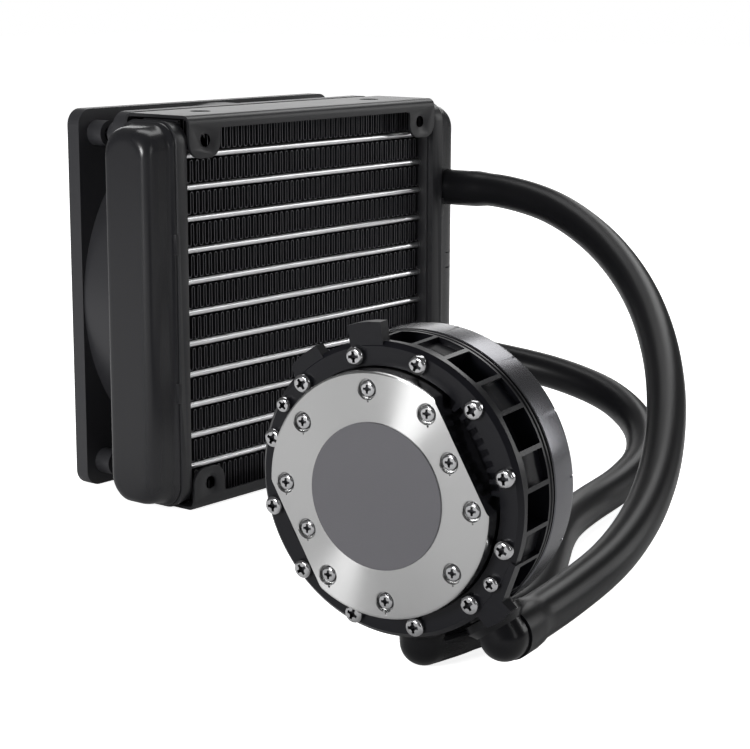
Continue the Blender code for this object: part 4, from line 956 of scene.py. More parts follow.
@dataclass
class EndTank(RadiatorPart):
    """A domed end tank, the right one with the two hose ports."""

    name: str = "tank_left"
    turned_round: bool = True
    tank_rim: float = 0.6 * MM
    tank_end: float = 75.5 * MM
    tank_corner: float = 7 * MM
    corner_share: float = 0.48
    tank_wall: float = 1.6 * MM
    tank_levels_mm: tuple[Pair, ...] = (
        (0.1, 64.4), (0.1, 65.5), (0.3, 65.9), (0.75, 66.3), (1.05, 67.0), (1.2, 68.2),
        (1.35, 70.2), (1.5, 71.6), (1.75, 72.7), (2.15, 73.7), (2.7, 74.5), (3.4, 75.1),
        (4.0, 75.38), (4.6, 75.46), (5.4, 75.5), (6.2, 75.5),
    )
    hollow_shoulder: float = 70 * MM
    hollow_end_inset: float = 4.5 * MM
    port_place: float = 71.2 * MM
    port_rise: float = 28.9 * MM
    port_seat: float = 1.5 * MM
    port_radius: float = 5.9 * MM
    port_root: float = 3 * MM
    port_reach: float = 0.6 * MM
    port_bore: float = 2.8 * MM
    port_bore_depth: float = 4.8 * MM
    mark_rises: Pair = (0.4 * MM, 5.7 * MM)
    mark_length: float = 5.5 * MM
    mark_height: float = 0.9 * MM
    mark_depth: float = 0.8 * MM
    mark_beyond: float = 1.5 * MM

    def build(self) -> None:
        """Builds the tank, turned round where it is the left one."""
        levels = [(inset * MM, height * MM) for inset, height in self.tank_levels_mm]
        foot_inset = self.pan_wall + self.gap
        foot_low = self.pan_start + self.pan_base + self.gap
        foot_levels = ((foot_inset, foot_low), (foot_inset, levels[1][1]))
        inner = foot_inset + self.tank_wall
        hollow_levels = (
            (inner, foot_low - BEYOND), (inner, self.hollow_shoulder),
            (self.hollow_end_inset, self.tank_end - self.tank_wall),
        )
        dome, foot, hollow = (
            lofted(rises, self.tank_outline) for rises in (levels, foot_levels, hollow_levels)
        )
        shape = carve(dome, [(Carving.ADD, foot), (Carving.CUT, hollow)])
        shape.transform(self.end_frame(self.turned_round))
        if not self.turned_round:
            shape = self.with_ports(shape)
        name = self.name
        finish_piece(name + "_fine", shape, (TANK_BLACK,), (name,), crease=40)

    def tank_outline(self, inset: float) -> list[Point2]:
        """Outlines a tank; its corners keep their radius while there is room for it.

        Args:
            inset: How far the outline stands in from the rim.

        Returns:
            The closed outline.
        """
        depth = self.pan_depth - 2 * inset
        height = self.pan_height + self.tank_rim - 2 * inset
        radius = min(self.tank_corner, self.corner_share * depth)
        return rounded_rectangle(depth, height, radius, 14)

    def with_ports(self, tank: Shape) -> Shape:
        """Gives the right tank its hose ports and the two moulded marks.

        Args:
            tank: The tank in place, which is used up.

        Returns:
            The tank with its ports.
        """
        face = self.tank_middle - self.pan_depth / 2 + self.port_seat
        x, middle = self.port_place, self.height / 2
        steps, bores, marks = [], [], []
        for rise in (-self.port_rise, self.port_rise):
            z = middle + rise
            root, tip = (x, face + self.port_root, z), (x, face - self.port_reach, z)
            steps.append((Carving.ADD, rod(root, tip, self.port_radius, 48)))
            outside, inside = (x, face - BEYOND, z), (x, face + self.port_bore_depth, z)
            bores.append(rod(outside, inside, self.port_bore, 32))
        for rise in self.mark_rises:
            z = middle + rise
            low = (self.tank_end - self.mark_length, face - self.mark_beyond, z)
            high = (self.tank_end + self.mark_beyond, face + self.mark_depth, z + self.mark_height)
            marks.append(block(low, high))
        steps += [(Carving.CUT, join_shapes(bores)), (Carving.CUT, join_shapes(marks))]
        return carve(tank, steps)


# Screws


@dataclass(frozen=True)
class PanHeadScrew:
    """A screw with a domed head and a cross recess, its head standing on local z 0."""

    head_radius: float
    head: float
    radius: float
    length: float
    recess: float
    steps: int = 40
    edge: float = 0.08 * MM
    flat_share: float = 0.62
    rim_share: float = 0.4
    arm_share: float = 0.27
    floor_share: float = 0.3
    top_share: float = 0.99
    core_floor_share: float = 0.8
    core_shares: Pair = (0.4, 0.8)

    def shape(self) -> Shape:
        """Makes the screw, with its head upwards.

        Returns:
            The screw; its recess has material index 1, where a darker finish paints the shade of
            the recess.
        """
        rim, crown, edge = self.head_radius, self.head, self.edge
        flat, low = rim * self.flat_share, crown * self.rim_share
        profile = [(0, crown), (flat, crown)]
        for degrees in range(75, -1, -15):
            across, up = polar(1.0, degrees)
            profile.append((flat + (rim - flat) * across, low + (crown - low) * up))
        profile += [(rim, edge), (rim - edge, 0), (self.radius, 0)]
        profile += [(self.radius, -self.length), (0, -self.length)]
        body = turned(profile, self.steps)
        arm, half, floor = self.recess, self.recess * self.arm_share, crown * self.floor_share
        outline = []
        for turn in range(4):
            spin = Matrix.Rotation(math.pi / 2 * turn, 2)
            corners = ((arm, -half), (arm, half), (half, half))
            outline += [tuple(spin @ Vector(corner)) for corner in corners]
        top = 2 * crown
        cross = prism(outline, top, shift(z=floor))
        narrow, wide = (arm * share for share in self.core_shares)
        deep = (0, 0, floor * self.core_floor_share)
        core = rod(deep, (0, 0, top), narrow, 16, wide)
        screw = carve(body, [(Carving.CUT, cross), (Carving.CUT, core)])
        # Faces inside the cross recess get material index 1, which carries the painted shade of
        # the recess.
        for face in screw.faces:
            middle = face.calc_center_median()
            inside = middle.xy.length < arm and 0 < middle.z < crown * self.top_share
            face.material_index = int(inside)
        return screw


# Fan


@dataclass
class Fan:
    """The fan's frame, its bladed rotor and its four long screws."""

    size: float = 120 * MM
    depth: float = 25 * MM
    front: float = 13.8 * MM
    middle_height: float = 60 * MM
    corner: float = 5 * MM
    flange: float = 5 * MM
    frame_rounding: float = 0.35 * MM
    duct_radius: float = 57.5 * MM
    duct_step: float = 0.4 * MM
    duct_wall: float = 1.6 * MM
    duct_overlap: float = 1 * MM
    screw_spacing: float = 105 * MM
    screw_hole: float = 2.2 * MM
    boss_radius: float = 4 * MM
    boss_start: float = 2.5 * MM
    boss_end: float = 11 * MM
    base_radius: float = 21 * MM
    base_thickness: float = 2.5 * MM
    base_edge: float = 0.4 * MM
    bearing_radii: Pair = (3.9 * MM, 5.0 * MM)
    bearing_end: float = 16 * MM
    strut_angles: tuple[int, ...] = (45, 135, 225, 315)
    strut_thickness: float = 3 * MM
    strut_half_width: float = 2.5 * MM
    strut_root: float = 2 * MM
    strut_bite: float = 1.2 * MM
    hub_radius: float = 20 * MM
    hub_start: float = 3.5 * MM
    hub_end: float = 23.2 * MM
    hub_wall: float = 1.6 * MM
    hub_edge: float = 2 * MM
    hub_boss_radii: Pair = (1.8 * MM, 4 * MM)
    hub_boss_start: float = 17 * MM
    blade_count: int = 9
    blade_thickness: float = 1.3 * MM
    blade_tip_gap: float = 1.5 * MM
    blade_start: float = 5.2 * MM
    blade_root_end: float = 21 * MM
    blade_tip_end: float = 19 * MM
    blade_chord: float = math.radians(33)
    blade_taper: float = 0.12
    blade_sweep: float = math.radians(26)
    blade_bow: float = 0.35
    screw_lift: float = 0.3 * MM
    screw: PanHeadScrew = PanHeadScrew(
        3.4 * MM, 2.2 * MM, radius=1.6 * MM, length=30 * MM, recess=1.6 * MM
    )

    @property
    def placed(self) -> Matrix:
        """The fan's frame: local Z runs to the rear from its front plane."""
        turn = Matrix.Rotation(-math.pi / 2, 4, "X")
        return shift(y=self.front, z=self.middle_height) @ turn

    def build(self) -> None:
        """Builds every piece."""
        self.build_frame()
        self.build_rotor()
        self.build_screws()

    def build_frame(self) -> None:
        """Builds both flanges, the duct, the screw bosses, the motor base and its struts."""
        square = rounded_rectangle(self.size, self.size, self.corner, 10)
        rear_start = self.depth - self.flange
        front = prism(square, self.flange)
        rear = prism(square, self.flange, shift(z=rear_start))
        radius = self.duct_radius
        throat = upright((0, 0), -BEYOND, self.flange + BEYOND, radius, 120)
        mouth = upright((0, 0), rear_start - BEYOND, self.depth + BEYOND, radius, 120)
        inner = radius + self.duct_step
        outer = inner + self.duct_wall
        low, high = self.flange - self.duct_overlap, rear_start + self.duct_overlap
        duct = turned(((outer, high), (outer, low), (inner, low), (inner, high)), 120, closed=True)
        bosses, holes = self.bosses_and_holes()
        steps = [
            (Carving.CUT, throat),
            (Carving.ADD, carve(rear, [(Carving.CUT, mouth)])),
            (Carving.ADD, duct),
            (Carving.ADD, self.motor_base()),
            (Carving.ADD, repeated(self.strut, self.strut_angles)),
            (Carving.ADD, bosses),
            (Carving.CUT, holes),
        ]
        shape = carve(front, steps)
        shape.transform(self.placed)
        finish_piece(
            "fan_frame_fine", shape, (FAN_PLASTIC,), ("fan_frame",),
            rounding=self.frame_rounding,
        )

    def motor_base(self) -> Shape:
        """Makes the round motor base with its bearing tube.

        Returns:
            The base.
        """
        inner, outer = self.bearing_radii
        radius, thick, edge, top = (
            self.base_radius, self.base_thickness, self.base_edge, self.bearing_end
        )
        profile = (
            (0, thick / 2), (inner, thick / 2), (inner, top), (outer, top), (outer, thick),
            (radius, thick), (radius, edge), (radius - edge, 0), (0, 0),
        )
        return turned(profile, 64)

    def strut(self) -> Shape:
        """Makes one strut of the motor base, along local X.

        Returns:
            The strut, which ends in the duct's wall.
        """
        half, end = self.strut_half_width, self.duct_radius + self.duct_step + self.strut_bite
        low = (self.base_radius - self.strut_root, -half, 0)
        return block(low, (end, half, self.strut_thickness))

    def bosses_and_holes(self) -> tuple[Shape, Shape]:
        """Makes the screw bosses of both flanges, and the holes through them.

        Returns:
            The bosses and the holes.
        """
        bosses, holes = [], []
        half, start, end = self.screw_spacing / 2, self.boss_start, self.boss_end
        for spot in ((-half, -half), (-half, half), (half, -half), (half, half)):
            bosses.append(upright(spot, start, end, self.boss_radius, 32))
            rear, last = self.depth - end, self.depth - start
            bosses.append(upright(spot, rear, last, self.boss_radius, 32))
            holes.append(upright(spot, -BEYOND, self.depth + BEYOND, self.screw_hole, 32))
        return join_shapes(bosses), join_shapes(holes)

    def blade(self) -> Shape:
        """Makes one blade: swept towards its tip, pitched, bowed and thin at its edges.

        Returns:
            The blade.
        """
        inner, outer = self.hub_radius - self.hub_wall / 2, self.duct_radius - self.blade_tip_gap
        start, bow = self.blade_start, self.blade_bow
        shape = bmesh.new()
        bmesh.ops.create_grid(shape, x_segments=16, y_segments=12, size=0.5)
        for vert in shape.verts:
            u, v = vert.co.x + 0.5, vert.co.y + 0.5
            radius = inner + (outer - inner) * u
            chord = self.blade_chord * (1 - self.blade_taper * u)
            angle = self.blade_sweep * u * u + chord * (v - 0.5)
            end = self.blade_root_end + (self.blade_tip_end - self.blade_root_end) * u
            height = start + (end - start) * (v + bow * (v - v * v))
            vert.co = (radius * math.cos(angle), radius * math.sin(angle), height)
        bmesh.ops.recalc_face_normals(shape, faces=shape.faces)
        bmesh.ops.solidify(shape, geom=shape.faces[:], thickness=self.blade_thickness)
        return shape

    def build_rotor(self) -> None:
        """Builds the hub cup and the blades."""
        radius, end, edge = self.hub_radius, self.hub_end, self.hub_edge
        cap, wall = end - self.hub_wall, radius - self.hub_wall
        bore, boss = self.hub_boss_radii
        profile = [
            (0, end), *arc((radius - edge, end - edge), edge, 90, 0, 8),
            (radius, self.hub_start), (wall, self.hub_start), (wall, cap), (boss, cap),
            (boss, self.hub_boss_start), (bore, self.hub_boss_start), (bore, cap), (0, cap),
        ]
        angles = [360 / self.blade_count * i for i in range(self.blade_count)]
        shape = carve(turned(profile, 96), [(Carving.ADD, repeated(self.blade, angles))])
        shape.transform(self.placed)
        finish_piece(
            "fan_rotor_fine", shape, (FAN_PLASTIC,), ("fan_rotor",),
            body=Body.FAN_WHEEL, crease=45,
        )

    def build_screws(self) -> None:
        """Builds the four long screws."""
        half = self.screw_spacing / 2
        corners = ((-half, half), (half, half), (-half, -half), (half, -half))
        for number, (x, y) in enumerate(corners, start=1):
            name = f"fan_screw_{number:02d}"
            shape = self.screw.shape()
            shape.transform(self.placed @ shift(x, y, self.depth + self.screw_lift))
            finish_piece(
                name + "_fine", shape, (DARK_STEEL_AND_RECESS_SHADE, DARK_STEEL_AND_RECESS_SHADE), (name,), crease=30
            )


# Pump head


@dataclass(frozen=True)
class Port:
    """A hose port of the head, and its elbow.

    The angle goes round the head, the seat is its distance from the axis, and the elbow is turned.
    """

    side: str
    body: Body
    angle: float
    seat: float
    turn: float


PORTS = (
    Port("left", Body.LEFT_ELBOW, angle=-177.1, seat=33.3 * MM, turn=20.0),
    Port("right", Body.RIGHT_ELBOW, angle=-145.6, seat=35.5 * MM, turn=0.0),
)


@dataclass
class HeadPart:
    """The sizes that the pump head's pieces share."""

    ring_radius: float = 34.8 * MM
    ring_length: float = 15 * MM
    recess_depth: float = 3 * MM
    plate_radius: float = 28.9 * MM
    plate_clearance: float = 0.4 * MM
    flat_angle: float = -61.3
    screw_count: int = 12
    screw_phase: float = 13.7
    screw_circle: float = 31.8 * MM
    screw_hole: float = 1.4 * MM
    small_circle: float = 32.4 * MM
    small_angles: Pair = (57.7, -122.2)
    cap_radius: float = 34.9 * MM
    cap_wall: float = 5.7 * MM
    port_plane: float = 12.5 * MM

    @property
    def seat_radius(self) -> float:
        """Radius of the recess that holds the plate."""
        return self.plate_radius + self.plate_clearance

    @property
    def cap_inner(self) -> float:
        """Inner radius of the cap."""
        return self.cap_radius - self.cap_wall

    @property
    def screw_angles(self) -> list[float]:
        """The angle of each ring screw."""
        step = 360 / self.screw_count
        return [self.screw_phase - step * i for i in range(self.screw_count)]

    def port_frame(self, angle: float) -> Matrix:
        """Works out a port's frame: local Z out of the head, local X to its rear.

        Args:
            angle: The port's angle round the head.

        Returns:
            The frame in the head's frame.
        """
        radial = turn_z(angle) @ Vector((1, 0, 0))
        rear = Vector((0, 0, -1))
        axes = Matrix((rear, radial.cross(rear), radial)).transposed().to_4x4()
        return shift(z=-self.port_plane) @ axes


@dataclass
class PumpRing(HeadPart):
    """The black bayonet ring with its windows, scoops, rack, tabs and port bosses."""

    steps: int = 144
    ring_bevel: float = 1.1 * MM
    ring_rounding: float = 0.28 * MM
    seam_depth: float = 0.35 * MM
    seam_heights: tuple[float, ...] = (13.6 * MM, 13.9 * MM, 14.3 * MM)
    seam_end: float = 14.5 * MM
    neck_radius: float = 33.6 * MM
    neck_length: float = 0.7 * MM
    neck_gap: float = 0.3 * MM
    bowl_radius: float = 16.2 * MM
    bowl_floor: float = 13.5 * MM
    groove_radii: Pair = (17.6 * MM, 19.6 * MM)
    groove_floor: float = 4.2 * MM
    chamber_radius: float = 7.2 * MM
    chamber_floor: float = 21 * MM
    chamber_wall: float = 1.2 * MM
    window_phase: float = -31.3
    window_half_width: float = 4.35 * MM
    window_depth: float = 29.4 * MM
    window_ends: Pair = (4.6 * MM, 12.9 * MM)
    window_ramp: float = 33.1 * MM
    scoop_half_width: float = 3.6 * MM
    scoop_mm: tuple[Point2, ...] = (
        (33.4, -12.9), (36.8, -12.9), (36.8, -3.4), (34.3, -3.4), (33.6, -4.6), (33.2, -8.5)
    )
    tab_thickness: float = 3.1 * MM
    tab_back: float = 3.3 * MM
    tab_root_mm: float = 33.0
    tab_rims_mm: tuple[tuple[Point2, ...], ...] = (
        ((39.2, 2), (39.2, 6.5), (39.1, 11), (38.9, 15.2)),
        ((37.2, 30.6), (37.2, 37.5), (37.1, 43.7), (35.6, 45.3)),
        ((38.2, -137.3), (39.3, -131.5), (39.3, -126), (36.6, -125.8), (35.3, -110.8)),
    )
    tooth_count: int = 9
    tooth_step: float = 5.4
    tooth_length: float = 2.1 * MM
    tooth_half_widths: Pair = (0.4 * MM, 0.8 * MM)
    tooth_root: float = 0.3 * MM
    tooth_height: float = 3.2 * MM
    tooth_sunk: float = 0.2 * MM
    screw_depth: float = 18 * MM
    small_depth: float = 6.6 * MM
    port_radius: float = 5.8 * MM
    port_root: float = 22 * MM
    port_socket: float = 4.5 * MM
    port_bore: float = 4.2 * MM
    channel_radius: float = 2.2 * MM
    channel_start: float = 14.2 * MM
    channel_overlap: float = 1 * MM
    flat_heights: Pair = (20.3 * MM, 5 * MM)
    flat_reach: float = 6 * MM

    def build(self) -> None:
        """Builds the black ring with its windows, scoops, rack, tabs and port bosses."""
        body = turned(self.ring_profile(), self.steps)
        steps = [
            *self.side_cuts(), *self.tabs(), *self.port_steps(), (Carving.CUT, self.screw_holes()),
            (Carving.ADD, self.rack()),
        ]
        shape = carve(body, steps)
        shape.transform(HEAD)
        finish_piece(
            "pump_ring_fine", shape, (RING_PLASTIC,), ("pump_ring",),
            rounding=self.ring_rounding,
        )

    def ring_profile(self) -> list[Point2]:
        """Outlines the ring's section, from the pump's chamber round to its back wall.

        Returns:
            Points as radius and height.
        """
        radius, seat, recess, wall = (
            self.ring_radius, self.seat_radius, -self.recess_depth, self.chamber_wall
        )
        chamber, floor, bowl = self.chamber_radius, -self.chamber_floor, self.bowl_radius
        back, neck_end = -self.ring_length, -self.ring_length - self.neck_length
        groove_in, groove_out = self.groove_radii
        seam = radius - self.seam_depth
        seam_top, seam_start, seam_stop = (-height for height in self.seam_heights)
        shoulder = self.cap_inner + self.neck_gap
        return [
            (0, floor), (chamber, floor), (chamber, -self.bowl_floor), (bowl, -self.bowl_floor),
            (bowl, recess), (groove_in, recess), (groove_in, -self.groove_floor),
            (groove_out, -self.groove_floor), (groove_out, recess), (seat, recess), (seat, 0),
            (radius - self.ring_bevel, 0), (radius, -self.ring_bevel), (radius, seam_top),
            (seam, seam_start), (seam, seam_stop), (radius, -self.seam_end), (radius, back),
            (self.neck_radius, back), (self.neck_radius, neck_end), (shoulder, neck_end),
            (shoulder, back), (chamber + wall, back), (chamber + wall, floor - wall),
            (0, floor - wall),
        ]

    def side_cuts(self) -> list[tuple[Carving, Shape]]:
        """Makes the deep windows with their ramps, and the scoops between them.

        Returns:
            The steps that cut them.
        """
        deep, beyond, ramp = self.window_depth, self.ring_radius + BEYOND, self.window_ramp
        near, far = (-end for end in self.window_ends)
        window = ((deep, far), (beyond, far), (beyond, 0.0), (ramp, near), (deep, near))
        scoop = [(radius * MM, height * MM) for radius, height in self.scoop_mm]
        step = 360 / self.screw_count
        angles = [self.window_phase + step * i for i in range(self.screw_count)]
        windows = repeated(lambda: radial_block(window, self.window_half_width), angles)
        scoops = repeated(lambda: radial_block(scoop, self.scoop_half_width), self.screw_angles)
        return [(Carving.CUT, windows), (Carving.CUT, scoops)]

    def tabs(self) -> list[tuple[Carving, Shape]]:
        """Makes the top tab and the two ears.

        Returns:
            The steps that join them to the ring.
        """
        steps, root = [], self.tab_root_mm
        for rim in self.tab_rims_mm:
            first, last = rim[0][1], rim[-1][1]
            points = [*rim, (root, last + 1), (root, (first + last) / 2), (root, first - 1)]
            outline = [polar(radius * MM, angle) for radius, angle in points]
            tab = prism(outline, self.tab_thickness, shift(z=-self.tab_back))
            steps.append((Carving.ADD, tab))
        return steps

    def port_steps(self) -> list[tuple[Carving, Shape]]:
        """Makes the two hose ports: boss, water channel, flat and bore.

        Returns:
            The steps that join and cut them.
        """
        steps = []
        for port in PORTS:
            placed, seat = self.port_frame(port.angle), port.seat
            end = seat - self.port_socket
            top = max(seat, self.neck_radius + self.plate_clearance)
            root, rim = (0, 0, self.port_root), (0, 0, top)
            steps.append((Carving.ADD, rod(root, rim, self.port_radius, 48, placed=placed)))
            inside, outside = (0, 0, self.channel_start), (0, 0, end + self.channel_overlap)
            channel = rod(inside, outside, self.channel_radius, 20, placed=placed)
            steps.append((Carving.CUT, channel))
            if seat < self.ring_radius:
                half = self.ring_radius / 2
                back, front = (-height for height in self.flat_heights)
                high = (seat + self.flat_reach, half, front)
                flat = block((seat, -half, back), high, turn_z(port.angle))
                steps.append((Carving.CUT, flat))
            floor, mouth = (0, 0, end), (0, 0, seat + BEYOND)
            bore = rod(floor, mouth, self.port_bore, 40, placed=placed)
            steps.append((Carving.CUT, bore))
        return steps

    def screw_holes(self) -> Shape:
        """Makes the cutters of the ring's screw holes.

        Returns:
            All fourteen cutters.
        """
        rows = (
            (self.screw_circle, self.screw_angles, self.screw_depth),
            (self.small_circle, self.small_angles, self.small_depth),
        )
        holes = [
            upright(polar(circle, angle), BEYOND, -depth, self.screw_hole, 20)
            for circle, angles, depth in rows for angle in angles
        ]
        return join_shapes(holes)

    def rack(self) -> Shape:
        """Makes the teeth that stand from the ring towards the plate's flat.

        Returns:
            All the teeth.
        """
        tip, root = self.seat_radius - self.tooth_length, self.seat_radius + self.tooth_root
        thin, wide = self.tooth_half_widths
        outline = ((tip, -thin), (root, -wide), (root, wide), (tip, thin))
        sunk = shift(z=-self.recess_depth - self.tooth_sunk)
        middle = (self.tooth_count - 1) / 2
        angles = [
            self.flat_angle + self.tooth_step * (i - middle) for i in range(self.tooth_count)
        ]
        return repeated(lambda: prism(outline, self.tooth_height, sunk), angles)


@dataclass
class ColdPlate(HeadPart):
    """The turned plate with two flats, its screws and the printed disc of paste."""

    plate_front: float = 4.85 * MM
    plate_bevel: float = 0.5 * MM
    plate_edge: float = 0.15 * MM
    plate_lift: float = 0.3 * MM
    plate_pad_radius: float = 15.3 * MM
    plate_pad_depth: float = 2 * MM
    flat_distance: float = 25.15 * MM
    plate_screw_circle: float = 24.75 * MM
    plate_screw_angles: tuple[float, ...] = (28.4, 66, 114, 151.6, 208.4, 246, 294, 331.6)
    flat_screw_circle: float = 21.7 * MM
    plate_screw: PanHeadScrew = PanHeadScrew(
        1.95 * MM, 1.15 * MM, radius=0.8 * MM, length=1.0 * MM, recess=1.05 * MM
    )
    pocket_depth: float = 1.3 * MM
    pocket_radius: float = 2.3 * MM
    pocket_rim: Pair = (0.2 * MM, 2.7 * MM)
    pocket_gap: float = 0.02 * MM
    dot_distance: float = 2.75 * MM
    dot_radius: float = 0.28 * MM
    dot_depth: float = 0.3 * MM
    dot_way: Point3 = (-1, -0.12, 0)
    paste_radius: float = 17.2 * MM
    paste_heights: Pair = (0.1 * MM, 0.35 * MM)
    paste_bevel: float = 0.1 * MM

    def build(self) -> None:
        """Builds the turned plate with its flats, its screws and the printed disc of paste."""
        front, radius, edge = self.plate_front, self.plate_radius, self.plate_edge
        bottom = -self.recess_depth + self.plate_lift
        pad, pad_bottom = self.plate_pad_radius, bottom - self.plate_pad_depth
        profile = (
            (0, front), (radius - self.plate_bevel, front), (radius - edge, front - edge),
            (radius, front - self.plate_bevel), (radius, bottom), (pad, bottom),
            (pad, pad_bottom), (0, pad_bottom),
        )
        flats = []
        for facing in (-1, 1):
            ends = sorted((facing * self.flat_distance, facing * (radius + BEYOND)))
            low = (ends[0], -radius, pad_bottom - BEYOND)
            flats.append(block(low, (ends[1], radius, front + BEYOND)))
        steps = [(Carving.CUT, join_shapes(flats)), *self.plate_pockets()]
        plate = carve(turned(profile, 192), steps)
        plate.transform(HEAD @ turn_z(self.flat_angle))
        finish_piece(
            "cold_plate_fine", plate, (TURNED_METAL,), ("cold_plate",), crease=15
        )
        self.build_plate_screws()
        self.build_paste()

    def build_paste(self) -> None:
        """Builds the printed disc of paste, with a soft edge."""
        low, high = (self.plate_front + height for height in self.paste_heights)
        size, edge, bevel = self.paste_radius, self.plate_edge, self.paste_bevel
        rim = ((0, high), (size - edge, high), (size, high - bevel), (size, low), (0, low))
        paste = turned(rim, 128, HEAD)
        finish_piece(
            "thermal_paste_fine", paste, (PASTE_GREY,), ("thermal_paste",),
            crease=30,
        )

    def plate_screw_spots(self) -> list[Point2]:
        """Returns the radius and angle of the plate's screws, from the flat's direction."""
        spots = [(self.plate_screw_circle, angle) for angle in self.plate_screw_angles]
        return spots + [(self.flat_screw_circle, 0), (self.flat_screw_circle, 180)]

    def plate_pockets(self) -> list[tuple[Carving, Shape]]:
        """Makes the cutters of the counterbores, of their rims and of the dots beside them.

        Returns:
            The steps that cut them.
        """
        front, size = self.plate_front, self.pocket_radius
        rim, rim_radius = self.pocket_rim
        pockets, rims, dots = [], [], []
        down = turn_z(self.flat_angle).inverted() @ Vector(self.dot_way)
        for distance, angle in self.plate_screw_spots():
            x, y = polar(distance, angle)
            floor = front - self.pocket_depth
            pockets.append(upright((x, y), floor, front + BEYOND, size, 40))
            rims.append(rod((x, y, front - rim), (x, y, front + rim), size, 40, rim_radius))
            dot = Vector((x, y, 0)) + self.dot_distance * down
            bottom = front - self.dot_depth
            dots.append(upright(dot.xy, bottom, front + BEYOND, self.dot_radius, 12))
        return [(Carving.CUT, join_shapes(cutters)) for cutters in (pockets, rims, dots)]

    def build_plate_screws(self) -> None:
        """Builds the plate's ten screws in their counterbores, as one piece."""
        turn = turn_z(self.flat_angle)
        floor = self.plate_front - self.pocket_depth + self.pocket_gap
        screws = []
        for distance, angle in self.plate_screw_spots():
            shape = self.plate_screw.shape()
            place = shift(*polar(distance, angle), floor)
            shape.transform(HEAD @ turn @ place @ turn.inverted())
            screws.append(shape)
        whole = join_shapes(screws)
        # The screws' recesses take the darker finish as painted shade.
        finish_piece("plate_screws", whole, (CHROME, DARK_STEEL_AND_RECESS_SHADE), (), crease=30)


@dataclass
class PumpCap(HeadPart):
    """The satin back cap with its rim notches."""

    cap_end: float = 26.1 * MM
    cap_start: float = 16.0 * MM
    cap_back: float = 1.8 * MM
    cap_edge: float = 2 * MM
    cap_lip: float = 0.25 * MM
    cap_rounding: float = 0.1 * MM
    cap_screw_depth: float = 5 * MM
    cap_relief: float = 33.1 * MM
    notch_count: int = 14
    notch_phase: float = -34.3
    notch_depth: float = 0.8 * MM
    notch_half_width: float = 0.3 * MM
    notch_length: float = 2.8 * MM
    passage_radius: float = 6.2 * MM
    passage_start: float = 20 * MM

    def build(self) -> None:
        """Builds the satin back cap with its rim notches."""
        radius, inner, edge, lip = self.cap_radius, self.cap_inner, self.cap_edge, self.cap_lip
        start, end = -self.cap_start, -self.cap_end
        floor = -(self.cap_end - self.cap_back)
        profile = [
            (0, floor), (inner, floor), (inner, start), (radius - lip, start),
            (radius, start - lip), *arc((radius - edge, end + edge), edge, 0, -90, 8), (0, end),
        ]
        holes = [
            upright(
                polar(self.screw_circle, angle), start + BEYOND, start - self.cap_screw_depth,
                self.screw_hole, 16,
            )
            for angle in self.screw_angles
        ]
        half = self.ring_radius / 2
        low = (-radius - BEYOND, -half, end - BEYOND)
        high = (-self.cap_relief, half, start + BEYOND)
        angles = [self.notch_phase + 360 / self.notch_count * i for i in range(self.notch_count)]
        steps = [
            (Carving.CUT, join_shapes(holes)),
            (Carving.CUT, block(low, high)),
            (Carving.CUT, repeated(self.cap_notch, angles)),
        ]
        rise, top = (0, 0, self.passage_start), (0, 0, radius + BEYOND)
        for port in PORTS:
            placed = self.port_frame(port.angle)
            steps.append((Carving.CUT, rod(rise, top, self.passage_radius, 48, placed=placed)))
        shape = carve(turned(profile, 192), steps)
        shape.transform(HEAD)
        finish_piece(
            "pump_cap_fine", shape, (GUNMETAL,), ("pump_cap",),
            rounding=self.cap_rounding,
        )

    def cap_notch(self) -> Shape:
        """Makes the cutter of one rim notch.

        Returns:
            The cutter, on local X.
        """
        radius, end, half = self.cap_radius, -self.cap_end, self.notch_half_width
        low = (radius - self.notch_depth, -half, end - BEYOND)
        return block(low, (radius + BEYOND, half, end + self.notch_length))


@dataclass
class HeadScrews(HeadPart):
    """The ring's twelve screws and the two small ones."""

    ring_screw: PanHeadScrew = PanHeadScrew(
        2.3 * MM, 1.6 * MM, radius=1.1 * MM, length=20 * MM, recess=1.334 * MM
    )
    small_screw: PanHeadScrew = PanHeadScrew(
        1.9 * MM, 1.6 * MM, radius=1.1 * MM, length=3.4 * MM, recess=1.102 * MM
    )
    screw_lift: float = 0.1 * MM
    screw_spin: float = 7

    def build(self) -> None:
        """Builds the ring's twelve screws and the two small ones."""
        rows = (
            ("ring_screw", self.screw_circle, self.screw_angles, self.ring_screw),
            ("small_screw", self.small_circle, self.small_angles, self.small_screw),
        )
        for title, circle, angles, screw in rows:
            for number, angle in enumerate(angles, start=1):
                name = f"{title}_{number:02d}"
                shape = screw.shape()
                place = shift(*polar(circle, angle), self.screw_lift)
                shape.transform(HEAD @ place @ turn_z(angle * self.screw_spin))
                # The screws' recesses take the darker finish as painted shade.
                finish_piece(
                    name + "_fine", shape, (CHROME, DARK_STEEL_AND_RECESS_SHADE), (name,), crease=30
                )


